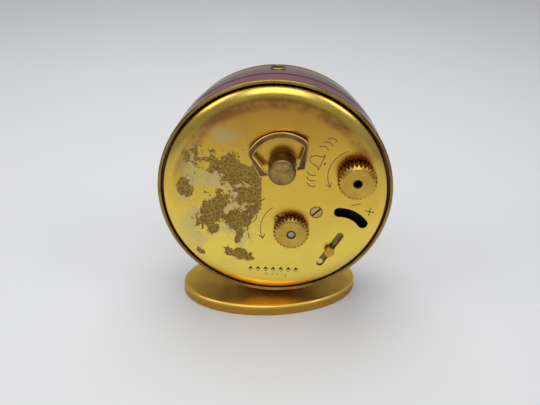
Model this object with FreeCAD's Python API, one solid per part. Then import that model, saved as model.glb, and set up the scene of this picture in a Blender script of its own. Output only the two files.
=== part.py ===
"""A small round alarm clock on an oval foot, with a gilt brass back and a folding winding key.

Millimetres, +Z up. The origin is under the foot's screw, the dial faces -Y and the back faces +Y.
Places inside the case are (x, z) from its axis and a depth from the rear rim towards the dial.
"""

import FreeCAD
import Part

import math
import os

V = FreeCAD.Vector

# ---- Driving dimensions --------------------------------------------------------------------------
# Foot
FOOT_HALF_WIDTH = 24.7
FOOT_HALF_DEPTH = 15.4
FOOT_OFFSET = (1.2, -1.0)        # the oval's middle from its screw
FOOT_TURN = 8.0                  # the foot stands turned a little on its screw
FOOT_THICKNESS = 3.0
FOOT_EDGE_ROUND = 0.8
FOOT_CENTRE_DEPTH = 8.5          # from the rear rim towards the dial
CASE_LIFT = 1.3                  # air between the foot and the rear rim
PILLAR_HALF_WIDTH = 6.0
PILLAR_HALF_DEPTH = 3.6
FOOT_SCREW_RADIUS = 1.2
FOOT_SCREW_HEAD_RADIUS = 2.4
FOOT_SCREW_HEAD = 1.2

# Case shells
RIM_RADIUS = 31.0
RIM_WIDTH = 0.9
RIM_DEPTH = 0.9
RIM_SKIRT = 0.25                 # wall of the rim's skirt, let into the rear band
RIM_SKIRT_DEPTH = 1.3
BAND_SET_BACK = 0.4              # the rim stands this far outside the rear band
BAND_WALL = 0.7
BAND_TAPER = 0.35
REAR_BAND_DEPTH = 7.7
BAND_STEP = 0.25                 # the front band starts this much smaller
FRONT_BAND_DEPTH = 18.2
FRONT_BAND_BULGE = 0.5
FRONT_BAND_DROP = 1.55
SPIGOT_WALL = 0.35
SPIGOT_LENGTH = 2.0
LEDGE_DEPTH = 3.0                # where the back cover's skirt lands
LEDGE_THICKNESS = 0.6
LEDGE_WIDTH = 1.3
BEZEL_PROUD = 3.1                # the bezel in front of the front band
BEZEL_LIP = 2.9
BEZEL_LIP_THICKNESS = 0.7
BEZEL_SPIGOT_WALL = 0.7
BEZEL_SPIGOT_LENGTH = 1.6        # let into the front band
CRYSTAL_THICKNESS = 1.2
CRYSTAL_DOME = 1.5
DIAL_DEPTH = 15.8
DIAL_THICKNESS = 0.4

# Back cover
COVER_GAP = 0.40                 # the dark gap inside the rim
COVER_RISE = 1.5                 # how far its face stands behind the rim
COVER_THICKNESS = 0.5
COVER_SHOULDER = 2.1
SCREW_HEAD_RADIUS = 1.55
SCREW_RADIUS = 0.7
SCREW_HEAD_HEIGHT = 0.6
SCREW_PAD = 0.5
SCREW_SLOT = 0.45

# Axes that pass through the cover, as (x, z) from the case's axis
KEY_AXIS = (-1.84, 8.7)
ALARM_AXIS = (-21.1, 6.0)
SET_AXIS = (-4.6, -10.2)
BALANCE_AXIS = (-17.3, -12.15)
COVER_SCREWS = ((-11.06, -4.8), (-1.8, -7.1))
SLIDE_SLOT_TOP = (-17.68, -11.78)
SLIDE_SLOT_BOTTOM = (-12.62, -20.31)
SLIDE_SLOT_WIDTH = 1.9
SLIDE_REST = 5.2                 # pin's distance from the slot's top end at rest
REGULATOR_RADIUS = 7.5
REGULATOR_SLOT_WIDTH = 2.7
REGULATOR_FROM = 88.0            # degrees, ends of the slot's centre line
REGULATOR_TO = 145.0

# Winding key
STEM_RADIUS = 3.55
STEM_HEIGHT = 5.1                # above the cover
STEM_CHAMFER = 0.35
KEY_TURN = 12.2                  # degrees, how the key stands in its rest position
BOW_RADIUS = 9.9
BOW_BAR = 1.6
BOW_FOOT_BAR = 1.3
BOW_THICKNESS = 0.9
BOW_CORNER = 1.3
BOW_HALF_FOOT = 5.9
BOW_SHOULDER_HEIGHT = 5.8
BOW_PIVOT_HEIGHT = 3.5           # above the cover
BOW_TIP_CLEARANCE = 0.42         # between the top of the leaning bow and the cover
BOW_PIN_RADIUS = 0.42
STEM_CLEARANCE = 0.15

# Knobs
ALARM_KNOB_RADIUS = 5.05
ALARM_KNOB_FACE_RADIUS = 4.15
ALARM_KNOB_TEETH = 28
ALARM_KNOB_LEVELS = (0.9, 3.0, 4.4)      # underside, top of the straight teeth, face: above the cover
SET_KNOB_RADIUS = 4.7
SET_KNOB_FACE_RADIUS = 3.9
SET_KNOB_TEETH = 27
SET_KNOB_LEVELS = (0.6, 2.2, 3.0)
KNOB_TOOTH_DEPTH = 0.62
KNOB_HUB_RADIUS = 2.2
KNOB_HOLE_RADIUS = 0.95
SET_ARBOR_RADIUS = 0.8
KNOB_HUB_GAP = 0.25

# Movement plates, as depths
BACK_PLATE = (1.2, 2.4)
FRONT_PLATE = (10.8, 12.0)
PLATE_RADIUS = 25.0
PILLAR_RING = 22.9
PILLAR_ANGLES = (80.0, 150.0, 262.0, 340.0)
PILLAR_RADIUS = 1.4
MOVEMENT_RING_WALL = 2.0

# Trains: teeth, and modules where the place follows from them
BARREL_AXIS = (11.5, 6.0)
WINDING_TEETH = (24, 48)
BARREL_TEETH = (70, 10)
BARREL_PITCH_RADIUS = 10.0
RELAY_TEETH = (48, 12)
RELAY_MODULE = 0.32
CENTRE_TEETH = (64, 8)
CENTRE_MODULE = 0.25
THIRD_TEETH = (60, 8)
THIRD_MODULE = 0.2
FOURTH_TEETH = (80, 8)
FOURTH_MODULE = 0.13
CANNON_TEETH = (16, 48)
HOUR_TEETH = (12, 48)
ALARM_TEETH = (12, 60)
THIRD_BEARING = 180.0            # degrees, centre arbor to third arbor
FOURTH_BEARING = -115.0
ESCAPE_BEARING = -68.0
ESCAPE_RADIUS = 3.0
ESCAPE_TEETH = 15
PALLET_DISTANCE = 3.75
BALANCE_RADIUS = 4.75
ROLLER_PIN_RADIUS = 0.85

# Fits
RUN = 0.04                       # radial clearance of a pivot or pipe
PRESSURE_ANGLE = math.radians(25.0)
ADDENDUM = 0.7
DEDENDUM = 1.05
BACKLASH = 0.05

# Hands
MINUTE_HAND_LENGTH = 20.5
HOUR_HAND_LENGTH = 14.0
ALARM_HAND_LENGTH = 12.0
CENTRE_ARBOR_RADIUS = 0.45
PIPE_WALL = 0.42

# ---- Places worked out from them -----------------------------------------------------------------
RIM_Y = FOOT_CENTRE_DEPTH
AXIS_Z = FOOT_THICKNESS + CASE_LIFT + RIM_RADIUS
RIM_INNER = RIM_RADIUS - RIM_WIDTH
BAND_OUTER = RIM_RADIUS - BAND_SET_BACK
BAND_INNER = BAND_OUTER - BAND_WALL
FRONT_BAND_OUTER = BAND_OUTER - BAND_TAPER - BAND_STEP
FRONT_END_OUTER = FRONT_BAND_OUTER - FRONT_BAND_DROP
BEZEL_DEPTH = FRONT_BAND_DEPTH + BEZEL_PROUD
BEZEL_SPIGOT_DEPTH = FRONT_BAND_DEPTH - BEZEL_SPIGOT_LENGTH
FRONT_END_INNER = FRONT_END_OUTER - BAND_WALL
COVER_RADIUS = RIM_INNER - COVER_GAP
COVER_TOP = -COVER_RISE
COVER_UNDER = COVER_TOP + COVER_THICKNESS
BEZEL_SPIGOT_OUTER = FRONT_END_INNER - RUN
BEZEL_SPIGOT_INNER = BEZEL_SPIGOT_OUTER - BEZEL_SPIGOT_WALL
CRYSTAL_SEAT = BEZEL_SPIGOT_INNER - 1.0
BEZEL_OPENING = FRONT_END_OUTER - BEZEL_LIP - 0.3
CRYSTAL_BACK = BEZEL_DEPTH - BEZEL_LIP_THICKNESS - CRYSTAL_THICKNESS
DIAL_RADIUS = BEZEL_SPIGOT_OUTER - 0.5
DIAL_FRONT = DIAL_DEPTH + DIAL_THICKNESS
MOVEMENT_RING_OUTER = FRONT_END_INNER + 0.4
MOVEMENT_RING_INNER = MOVEMENT_RING_OUTER - MOVEMENT_RING_WALL


def polar(origin, radius, degrees):
    """The point at a radius and bearing from origin, in the (x, z) plane."""
    a = math.radians(degrees)
    return origin[0] + radius * math.cos(a), origin[1] + radius * math.sin(a)


def bearing(a, b):
    """The direction from a to b in degrees."""
    return math.degrees(math.atan2(b[1] - a[1], b[0] - a[0]))


def distance(a, b):
    return math.hypot(b[0] - a[0], b[1] - a[1])


def at(x, z, depth):
    """A point of the case, as a vector of the model's frame."""
    return V(x, RIM_Y - depth, AXIS_Z + z)


# ---- Shape helpers -------------------------------------------------------------------------------
def rod(place, d0, d1, radius):
    """A cylinder along the case's axis, from depth d0 to depth d1."""
    return Part.makeCylinder(radius, d1 - d0, at(*place, d0), V(0, -1, 0))


def tube(place, d0, d1, outer, inner):
    return rod(place, d0, d1, outer).cut(rod(place, d0 - 1, d1 + 1, inner))


def outline(points):
    """A closed wire. A point of two numbers ends a straight run, one of four an arc through the first two."""
    edges = []
    here = points[0][-2:]
    for p in list(points[1:]) + [points[0]]:
        end = p[-2:]
        a, b = V(here[0], here[1], 0), V(end[0], end[1], 0)
        if len(p) == 4:
            edges.append(Part.Arc(a, V(p[0], p[1], 0), b).toShape())
        elif (b - a).Length > 1e-7:
            edges.append(Part.LineSegment(a, b).toShape())
        here = end
    return Part.Wire(edges)


# Turns the drawing plane, x and z, into the case's frame, with the drawing's normal towards the dial
TO_CASE = FreeCAD.Matrix(1, 0, 0, 0, 0, 0, -1, RIM_Y, 0, 1, 0, AXIS_Z, 0, 0, 0, 1)


def slab(points, d0, d1):
    """A plate of the outline given in (x, z), from depth d0 to depth d1."""
    flat = Part.Face(outline(points))
    flat.translate(V(0, 0, d0))
    solid = flat.extrude(V(0, 0, d1 - d0))
    solid.transformShape(TO_CASE)
    return solid


def turned(points, place=(0.0, 0.0)):
    """A solid of revolution about an axis of the case, from an outline in (radius, depth)."""
    flat = Part.Face(outline(points))
    solid = flat.revolve(V(0, 0, 0), V(0, 1, 0), 360)
    # drawing (radius, depth) to the case: radius along +X, depth along -Y
    solid.transformShape(FreeCAD.Matrix(1, 0, 0, place[0], 0, -1, 0, RIM_Y, 0, 0, -1, AXIS_Z + place[1], 0,
        0, 0, 1))
    return solid


def group(*shapes):
    return Part.makeCompound(list(shapes))


def teeth_outline(place, count, module, phase):
    """The (x, z) outline of a gear of straight-cut teeth with flat-sided involute flanks."""
    pitch = count * module / 2
    base = pitch * math.cos(PRESSURE_ANGLE)
    root = pitch - DEDENDUM * module
    tip = pitch + ADDENDUM * module
    half_pitch = (math.pi * module / 2 - BACKLASH) / 2 / pitch

    def half_angle(radius):
        a = math.acos(min(1.0, base / max(radius, base)))
        return half_pitch + (math.tan(PRESSURE_ANGLE) - PRESSURE_ANGLE) - (math.tan(a) - a)

    radii = [root, max(base, root + 0.01), (pitch + tip) / 2, tip]
    flank = [(r, half_angle(r)) for r in radii]
    points = []
    for k in range(count):
        middle = phase + 2 * math.pi * k / count
        for r, h in flank:
            points.append((place[0] + r * math.cos(middle - h), place[1] + r * math.sin(middle - h)))
        for r, h in reversed(flank):
            points.append((place[0] + r * math.cos(middle + h), place[1] + r * math.sin(middle + h)))
    return points


def gear(place, count, module, d0, d1, phase, bore):
    return slab(teeth_outline(place, count, module, phase), d0, d1).cut(rod(place, d0 - 1, d1 + 1, bore))


def meshed(place, count, phase, other, other_count):
    """The phase that puts a gear at other in mesh with a gear at place."""
    line = math.radians(bearing(place, other))
    share = (line - phase) * count / (2 * math.pi)
    return line + math.pi - (0.5 - share) * 2 * math.pi / other_count


def lightened(wheel, place, d0, d1, ring, hole, count=5):
    """The wheel with a ring of round holes, as its crossings."""
    for k in range(count):
        wheel = wheel.cut(rod(polar(place, ring, 360 * k / count + 20), d0 - 1, d1 + 1, hole))
    return wheel


def arbor(place, d0, d1, radius, pivot, bearings):
    """A turned arbor from d0 to d1, with a pivot of its own radius reaching each bearing's far face."""
    body = rod(place, d0, d1, radius)
    return body.fuse(rod(place, bearings[0], bearings[1], pivot)).removeSplitter()


# ---- Foot ----------------------------------------------------------------------------------------
def foot_plate():
    ellipse = Part.Ellipse(V(0, 0, 0), FOOT_HALF_WIDTH, FOOT_HALF_DEPTH)
    plate = Part.Face(Part.Wire(ellipse.toShape())).extrude(V(0, 0, FOOT_THICKNESS))
    top = [e for e in plate.Edges if e.BoundBox.ZMin > FOOT_THICKNESS - 1e-6]
    plate = plate.makeFillet(FOOT_EDGE_ROUND, top)
    plate.rotate(V(0, 0, 0), V(0, 0, 1), FOOT_TURN)
    plate.translate(V(*FOOT_OFFSET, 0))
    plate = plate.cut(Part.makeCylinder(FOOT_SCREW_RADIUS, FOOT_THICKNESS + 2, V(0, 0, -1)))
    return plate.cut(Part.makeCylinder(FOOT_SCREW_HEAD_RADIUS + RUN, FOOT_SCREW_HEAD + 0.3 + 1, V(0, 0, -1)))


def foot_screw():
    head = Part.makeCylinder(FOOT_SCREW_HEAD_RADIUS, FOOT_SCREW_HEAD, V(0, 0, 0.3))
    slot = Part.makeBox(3 * FOOT_SCREW_HEAD_RADIUS, 0.6, 0.5, V(-1.5 * FOOT_SCREW_HEAD_RADIUS, -0.3, 0.3))
    shank = Part.makeCylinder(FOOT_SCREW_RADIUS, FOOT_THICKNESS - FOOT_SCREW_HEAD - 0.3 + 1.4,
        V(0, 0, 0.3 + FOOT_SCREW_HEAD))
    return head.cut(slot).fuse(shank)


def foot_pillar(bands):
    top = AXIS_Z - BAND_OUTER + 1.0
    block = Part.makeBox(2 * PILLAR_HALF_WIDTH, 2 * PILLAR_HALF_DEPTH, top - FOOT_THICKNESS,
        V(-PILLAR_HALF_WIDTH, -PILLAR_HALF_DEPTH, FOOT_THICKNESS))
    uprights = [e for e in block.Edges if abs(e.BoundBox.ZLength - (top - FOOT_THICKNESS)) < 1e-6]
    block = block.makeFillet(PILLAR_HALF_DEPTH * 0.8, uprights)
    block = block.cut(bands)
    return block.cut(Part.makeCylinder(FOOT_SCREW_RADIUS, 1.5, V(0, 0, FOOT_THICKNESS)))


# ---- Case shells ---------------------------------------------------------------------------------
def rear_rim():
    bead = 0.35
    sag = bead * (1 - math.sqrt(0.5))
    return turned([
        (RIM_INNER, bead), (RIM_INNER + sag, sag, RIM_INNER + bead, 0), (RIM_RADIUS - bead, 0),
        (RIM_RADIUS - sag, sag, RIM_RADIUS, bead), (RIM_RADIUS, RIM_DEPTH), (RIM_INNER + RIM_SKIRT,
            RIM_DEPTH),
        (RIM_INNER + RIM_SKIRT, RIM_DEPTH + RIM_SKIRT_DEPTH), (RIM_INNER, RIM_DEPTH + RIM_SKIRT_DEPTH),
    ])


def rear_band():
    end = REAR_BAND_DEPTH
    lip = RIM_INNER + RIM_SKIRT
    return turned([
        (lip, RIM_DEPTH), (BAND_OUTER, RIM_DEPTH), (BAND_OUTER - BAND_TAPER, end), (BAND_INNER - BAND_TAPER,
            end),
        (BAND_INNER - BAND_TAPER, LEDGE_DEPTH + LEDGE_THICKNESS), (COVER_RADIUS - LEDGE_WIDTH,
            LEDGE_DEPTH + LEDGE_THICKNESS),
        (COVER_RADIUS - LEDGE_WIDTH, LEDGE_DEPTH), (BAND_INNER, LEDGE_DEPTH), (BAND_INNER,
            RIM_DEPTH + RIM_SKIRT_DEPTH),
        (lip, RIM_DEPTH + RIM_SKIRT_DEPTH),
    ])


def front_band():
    start, end = REAR_BAND_DEPTH, FRONT_BAND_DEPTH
    middle = (start + end) / 2
    belly = FRONT_BAND_OUTER - FRONT_BAND_DROP / 2 + FRONT_BAND_BULGE
    spigot = BAND_INNER - BAND_TAPER
    return turned([
        (FRONT_BAND_OUTER, start), (belly, middle, FRONT_END_OUTER, end), (FRONT_END_INNER, end),
        (belly - BAND_WALL, middle, FRONT_BAND_OUTER - BAND_WALL, start), (spigot - SPIGOT_WALL, start),
        (spigot - SPIGOT_WALL, start - SPIGOT_LENGTH), (spigot, start - SPIGOT_LENGTH), (spigot, start),
    ])


def front_bezel():
    start = FRONT_BAND_DEPTH
    shoulder = 1.3
    sag = shoulder * (1 - math.sqrt(0.5))
    outer = FRONT_END_OUTER - 0.15
    lip_back = BEZEL_DEPTH - BEZEL_LIP_THICKNESS
    return turned([
        (outer, start), (outer, BEZEL_DEPTH - shoulder), (outer - sag, BEZEL_DEPTH - sag, outer - shoulder,
            BEZEL_DEPTH),
        (BEZEL_OPENING, BEZEL_DEPTH), (BEZEL_OPENING, lip_back), (CRYSTAL_SEAT, lip_back), (CRYSTAL_SEAT,
            start),
        (BEZEL_SPIGOT_INNER, start), (BEZEL_SPIGOT_INNER, BEZEL_SPIGOT_DEPTH), (BEZEL_SPIGOT_OUTER,
            BEZEL_SPIGOT_DEPTH),
        (BEZEL_SPIGOT_OUTER, start),
    ])


def crystal():
    r = BEZEL_OPENING - RUN
    flange = CRYSTAL_SEAT - RUN
    back, front = CRYSTAL_BACK, CRYSTAL_BACK + CRYSTAL_THICKNESS
    half = r * 0.55
    sphere = (r * r + CRYSTAL_DOME * CRYSTAL_DOME) / (2 * CRYSTAL_DOME)
    rise = math.sqrt(sphere * sphere - half * half) - (sphere - CRYSTAL_DOME)
    face = BEZEL_DEPTH
    return turned([
        (0, back + CRYSTAL_DOME), (half, back + rise, r, back), (flange, back), (flange, front), (r,
            front), (r, face),
        (half, face + rise, 0, face + CRYSTAL_DOME),
    ])


def dial_flange():
    r_out = BEZEL_SPIGOT_INNER - RUN
    neck = CRYSTAL_SEAT - RUN
    return turned([
        (neck - 0.9, DIAL_FRONT), (r_out, DIAL_FRONT), (r_out, FRONT_BAND_DEPTH - RUN), (neck,
            FRONT_BAND_DEPTH - RUN),
        (neck, CRYSTAL_BACK), (neck - 0.35, CRYSTAL_BACK),
    ])


def movement_ring():
    shoulder = FRONT_PLATE[1] + 1.6
    inner = PLATE_RADIUS - 1.0
    ring = turned([
        (MOVEMENT_RING_INNER, DIAL_DEPTH), (MOVEMENT_RING_OUTER, DIAL_DEPTH), (MOVEMENT_RING_OUTER,
            FRONT_PLATE[0]),
        (PLATE_RADIUS + RUN, FRONT_PLATE[0]), (PLATE_RADIUS + RUN, FRONT_PLATE[1]), (inner, FRONT_PLATE[1]),
        (inner, shoulder), (MOVEMENT_RING_INNER, shoulder),
    ])
    return ring.cut(Part.makeCylinder(BUTTON_BORE + 0.5, MOVEMENT_RING_OUTER, at(0, 10, BUTTON_DEPTH),
        V(0, 0, 1)))


# ---- Back cover ----------------------------------------------------------------------------------
def slot_outline(a, b, width):
    """A round-ended slot from a to b."""
    r = width / 2
    turn = bearing(a, b)
    return [
        polar(a, r, turn + 90), polar(a, r, turn + 180) + polar(a, r, turn - 90),
        polar(b, r, turn - 90), polar(b, r, turn) + polar(b, r, turn + 90),
    ]


def arc_slot_outline(centre, radius, start, end, width):
    """A round-ended slot along an arc about centre."""
    r = width / 2
    first, last = polar(centre, radius, start), polar(centre, radius, end)
    middle = (start + end) / 2
    return [
        polar(centre, radius - r, start), polar(first, r, start - 90) + polar(centre, radius + r, start),
        polar(centre, radius + r, middle) + polar(centre, radius + r, end),
        polar(last, r, end + 90) + polar(centre, radius - r, end),
        polar(centre, radius - r, middle) + polar(centre, radius - r, start),
    ]


def back_cover():
    outer, t, round_out = COVER_RADIUS, COVER_THICKNESS, COVER_SHOULDER
    round_in = round_out - t
    half = math.sqrt(0.5)
    top = COVER_TOP
    cover = turned([
        (0, top), (outer - round_out, top),
        (outer - round_out * (1 - half), top + round_out * (1 - half), outer, top + round_out), (outer,
            LEDGE_DEPTH),
        (outer - t, LEDGE_DEPTH), (outer - t, top + round_out),
        (outer - round_out + round_in * half, top + round_out - round_in * half, outer - round_out,
            top + t), (0, top + t),
    ])
    for place in COVER_SCREWS:
        cover = cover.fuse(rod(place, COVER_UNDER, COVER_UNDER + SCREW_PAD, SCREW_HEAD_RADIUS + 0.7))
        cover = cover.cut(rod(place, top - 1, top + SCREW_HEAD_HEIGHT - 0.05, SCREW_HEAD_RADIUS + 0.1))
        cover = cover.cut(rod(place, top - 1, 3, SCREW_RADIUS + 0.15))
    cover = cover.cut(rod(KEY_AXIS, top - 1, 3, STEM_RADIUS + 0.12))
    for place in (ALARM_AXIS, SET_AXIS):
        cover = cover.cut(rod(place, top - 1, 3, SET_ARBOR_RADIUS + 0.4))
    cover = cover.cut(slab(slot_outline(SLIDE_SLOT_TOP, SLIDE_SLOT_BOTTOM, SLIDE_SLOT_WIDTH), top - 1, 3))
    regulator = arc_slot_outline(BALANCE_AXIS, REGULATOR_RADIUS, REGULATOR_FROM, REGULATOR_TO,
        REGULATOR_SLOT_WIDTH)
    return cover.cut(slab(regulator, top - 1, 3))


def slotted_screw(place, head_top, head_radius, head_height, shank_end, slot_bearing):
    """A cheese-head screw whose shank runs towards the dial."""
    head = rod(place, head_top, head_top + head_height, head_radius)
    shank = rod(place, head_top + head_height, shank_end, SCREW_RADIUS)
    a, b = polar(place, 2 * head_radius, slot_bearing), polar(place, 2 * head_radius, slot_bearing + 180)
    side = SCREW_SLOT / 2
    cut = [polar(a, side, slot_bearing + 90), polar(a, side, slot_bearing - 90),
        polar(b, side, slot_bearing - 90), polar(b, side, slot_bearing + 90)]
    return head.cut(slab(cut, head_top - 1, head_top + head_height * 0.55)).fuse(shank)


def cover_screws():
    top = COVER_TOP - 0.05
    end = BACK_PLATE[0]
    return group(*[slotted_screw(p, top, SCREW_HEAD_RADIUS, SCREW_HEAD_HEIGHT, end, b)
        for p, b in zip(COVER_SCREWS, (135.0, 40.0))])


# ---- Winding key ---------------------------------------------------------------------------------
STEM_TOP = COVER_TOP - STEM_HEIGHT
BOW_DEPTH = COVER_TOP - BOW_PIVOT_HEIGHT
BOW_TOP_CORNER = math.hypot(BOW_RADIUS, BOW_THICKNESS / 2)
BOW_LEAN = math.degrees(math.asin((BOW_PIVOT_HEIGHT - BOW_TIP_CLEARANCE) / BOW_TOP_CORNER)
    - math.atan2(BOW_THICKNESS / 2, BOW_RADIUS))
WINDING_LEVEL = (0.1, 0.9)


def key_frame(shape, lean):
    """Places a piece drawn about the origin, with the hinge along X, on the key: leant, turned and moved."""
    shape.rotate(V(0, 0, 0), V(1, 0, 0), lean)
    shape.rotate(V(0, 0, 0), V(0, 1, 0), KEY_TURN)
    shape.translate(at(*KEY_AXIS, BOW_DEPTH))
    return shape


def winding_stem():
    head = rod(KEY_AXIS, STEM_TOP, COVER_UNDER + 0.1, STEM_RADIUS)
    edge = [e for e in head.Edges if e.BoundBox.YMin > RIM_Y - STEM_TOP - 1e-6]
    head = head.makeChamfer(STEM_CHAMFER, edge)
    head = head.cut(rod(KEY_AXIS, STEM_TOP - 1, STEM_TOP + 0.12, STEM_RADIUS - 1.0))
    bore = Part.makeCylinder(BOW_PIN_RADIUS + RUN, 4 * STEM_RADIUS, V(-2 * STEM_RADIUS, 0, 0), V(1, 0, 0))
    head = head.cut(key_frame(bore, 0))
    shaft = rod(KEY_AXIS, COVER_UNDER + 0.1, WINDING_LEVEL[1], 1.5)
    pivot = rod(KEY_AXIS, WINDING_LEVEL[1], BACK_PLATE[1], 1.0)
    return head.fuse([shaft, pivot])


def bow_outline(radius, half_foot, foot, shoulder):
    """Half-open fan: an arc about the hinge's middle, straight sides and a straight foot."""
    half = math.sqrt(radius * radius - shoulder * shoulder)
    return [(-half_foot, foot), (half_foot, foot), (half, shoulder), (0, radius, -half, shoulder)]


def key_bow():
    t = BOW_THICKNESS
    low = -BOW_FOOT_BAR / 2
    outer = Part.Face(outline(bow_outline(BOW_RADIUS, BOW_HALF_FOOT, low, BOW_SHOULDER_HEIGHT)))
    inner = Part.Face(outline(bow_outline(BOW_RADIUS - BOW_BAR, BOW_HALF_FOOT - BOW_BAR, -low,
        BOW_SHOULDER_HEIGHT - 0.75)))
    frame = outer.cut(inner)
    frame.translate(V(0, 0, -t / 2))
    frame = frame.extrude(V(0, 0, t))
    gap = STEM_RADIUS + STEM_CLEARANCE
    frame = frame.cut(Part.makeBox(2 * gap, BOW_FOOT_BAR * 1.6, 3 * t,
        V(-gap, -BOW_FOOT_BAR * 0.8, -1.5 * t)))
    corner = math.sqrt(BOW_RADIUS ** 2 - BOW_SHOULDER_HEIGHT ** 2)
    upright = [e for e in frame.Edges if abs(e.BoundBox.ZLength - t) < 1e-6]
    shoulders = [e for e in upright if abs(abs(e.CenterOfMass.x) - corner) < 1e-3]
    frame = frame.makeFillet(BOW_CORNER, shoulders)
    # drawn in XY: stand it up so that the bow rises along Z
    frame.rotate(V(0, 0, 0), V(1, 0, 0), 90)
    pins = [Part.makeCylinder(BOW_PIN_RADIUS, gap - 1.2 + 0.3, V(s * 1.2, 0, 0), V(s, 0, 0)) for s in (-1, 1)]
    return key_frame(frame.Solids[0].fuse(pins).removeSplitter(), BOW_LEAN)


# ---- Knobs and their arbors ----------------------------------------------------------------------
def knob(place, radius, face_radius, teeth, levels, hole, hole_depth):
    """A disc with V-cut teeth, bevelled to a flat face, on a hub that reaches down to the cover."""
    under, shoulder, face = (COVER_TOP - h for h in levels)
    star = []
    for k in range(teeth):
        star.append(polar(place, radius, 360 * k / teeth))
        star.append(polar(place, radius - KNOB_TOOTH_DEPTH, 360 * (k + 0.5) / teeth))
    body = slab(star, face, under)
    cone = turned([(0, face), (face_radius, face), (radius, shoulder), (radius, under), (0, under)], place)
    body = body.common(cone)
    body = body.fuse(rod(place, under, COVER_TOP - KNOB_HUB_GAP, KNOB_HUB_RADIUS))
    return body.cut(rod(place, face - 1, hole_depth, hole))


def alarm_set_knob():
    face = COVER_TOP - ALARM_KNOB_LEVELS[2]
    return knob(ALARM_AXIS, ALARM_KNOB_RADIUS, ALARM_KNOB_FACE_RADIUS, ALARM_KNOB_TEETH, ALARM_KNOB_LEVELS,
        KNOB_HOLE_RADIUS, face + 6)


def time_set_knob():
    face = COVER_TOP - SET_KNOB_LEVELS[2]
    return knob(SET_AXIS, SET_KNOB_RADIUS, SET_KNOB_FACE_RADIUS, SET_KNOB_TEETH, SET_KNOB_LEVELS,
        KNOB_HOLE_RADIUS, face + 6)


MINUTE_MODULE = 2 * distance((0, 0), SET_AXIS) / sum(CANNON_TEETH)
HOUR_MODULE = 2 * distance((0, 0), SET_AXIS) / sum(HOUR_TEETH)
ALARM_MODULE = 2 * distance((0, 0), ALARM_AXIS) / sum(ALARM_TEETH)
MINUTE_LEVEL = (12.4, 13.1)
HOUR_PINION_LEVEL = (13.3, 14.4)
HOUR_LEVEL = (13.6, 14.1)
ALARM_LEVEL = (14.7, 15.2)
SET_PHASE = 0.0


def set_arbor():
    """The hand-setting arbor with the pinion that turns the hour wheel, and the minute wheel it carries."""
    face = COVER_TOP - SET_KNOB_LEVELS[2]
    shaft = rod(SET_AXIS, face + 0.1, HOUR_PINION_LEVEL[1], SET_ARBOR_RADIUS)
    collar = rod(SET_AXIS, BACK_PLATE[1] + 0.1, FRONT_PLATE[0] - 0.1, 1.3).cut(shaft)
    sleeve = tube(SET_AXIS, face + 0.6, face + 1.2, KNOB_HOLE_RADIUS, SET_ARBOR_RADIUS)
    wheel_phase = meshed((0, 0), CANNON_TEETH[0], 0.0, SET_AXIS, CANNON_TEETH[1])
    wheel = gear(SET_AXIS, CANNON_TEETH[1], MINUTE_MODULE, *MINUTE_LEVEL, wheel_phase, SET_ARBOR_RADIUS)
    pinion = gear(SET_AXIS, HOUR_TEETH[0], HOUR_MODULE, *HOUR_PINION_LEVEL, SET_PHASE, SET_ARBOR_RADIUS)
    return group(shaft, collar, sleeve, pinion), lightened(wheel, SET_AXIS, *MINUTE_LEVEL, 5.0, 1.6)


def alarm_arbor():
    """The alarm-setting arbor with its pinion."""
    face = COVER_TOP - ALARM_KNOB_LEVELS[2]
    shaft = rod(ALARM_AXIS, face + 2.6, ALARM_LEVEL[1] + 0.2, SET_ARBOR_RADIUS)
    collar = rod(ALARM_AXIS, BACK_PLATE[1] + 0.1, FRONT_PLATE[0] - 0.1, 1.3).cut(shaft)
    sleeve = tube(ALARM_AXIS, face + 2.7, face + 3.4, KNOB_HOLE_RADIUS, SET_ARBOR_RADIUS)
    pinion = gear(ALARM_AXIS, ALARM_TEETH[0], ALARM_MODULE, ALARM_LEVEL[0] - 0.2, ALARM_LEVEL[1] + 0.2, 0.0,
        SET_ARBOR_RADIUS)
    return group(shaft, collar, sleeve, pinion)


# ---- Alarm on and off slide, regulator and stop button -------------------------------------------
SLOT_BEARING = bearing(SLIDE_SLOT_TOP, SLIDE_SLOT_BOTTOM)
SLIDE_PIN = polar(SLIDE_SLOT_TOP, SLIDE_REST, SLOT_BEARING)
SLIDE_LEVEL = (COVER_UNDER + RUN, COVER_UNDER + 0.6 + RUN)
SLIDE_PIN_RADIUS = 0.7
SLIDE_HEAD_RADIUS = 1.35
SLIDE_HEAD = (COVER_TOP - 1.7, COVER_TOP - 0.5)
STRIP_WIDTH = 2.8
STRIP_UP = SLIDE_REST + 1.5
STRIP_DOWN = distance(SLIDE_PIN, SLIDE_SLOT_BOTTOM)


def alarm_slide():
    strip = slab(slot_outline(polar(SLIDE_PIN, STRIP_UP, SLOT_BEARING + 180),
        polar(SLIDE_PIN, STRIP_DOWN, SLOT_BEARING), STRIP_WIDTH), *SLIDE_LEVEL)
    return strip.cut(rod(SLIDE_PIN, -3, 3, SLIDE_PIN_RADIUS))


def slide_pin():
    stem = rod(SLIDE_PIN, SLIDE_HEAD[1], SLIDE_LEVEL[1], SLIDE_PIN_RADIUS)
    head = rod(SLIDE_PIN, *SLIDE_HEAD, SLIDE_HEAD_RADIUS)
    edge = [e for e in head.Edges if e.BoundBox.YMin > RIM_Y - SLIDE_HEAD[0] - 1e-6]
    return head.makeFillet(0.25, edge).fuse(stem)


COCK_LEVEL = (0.4, 1.2)
REGULATOR_LEVEL = (0.0, 0.4)


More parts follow.
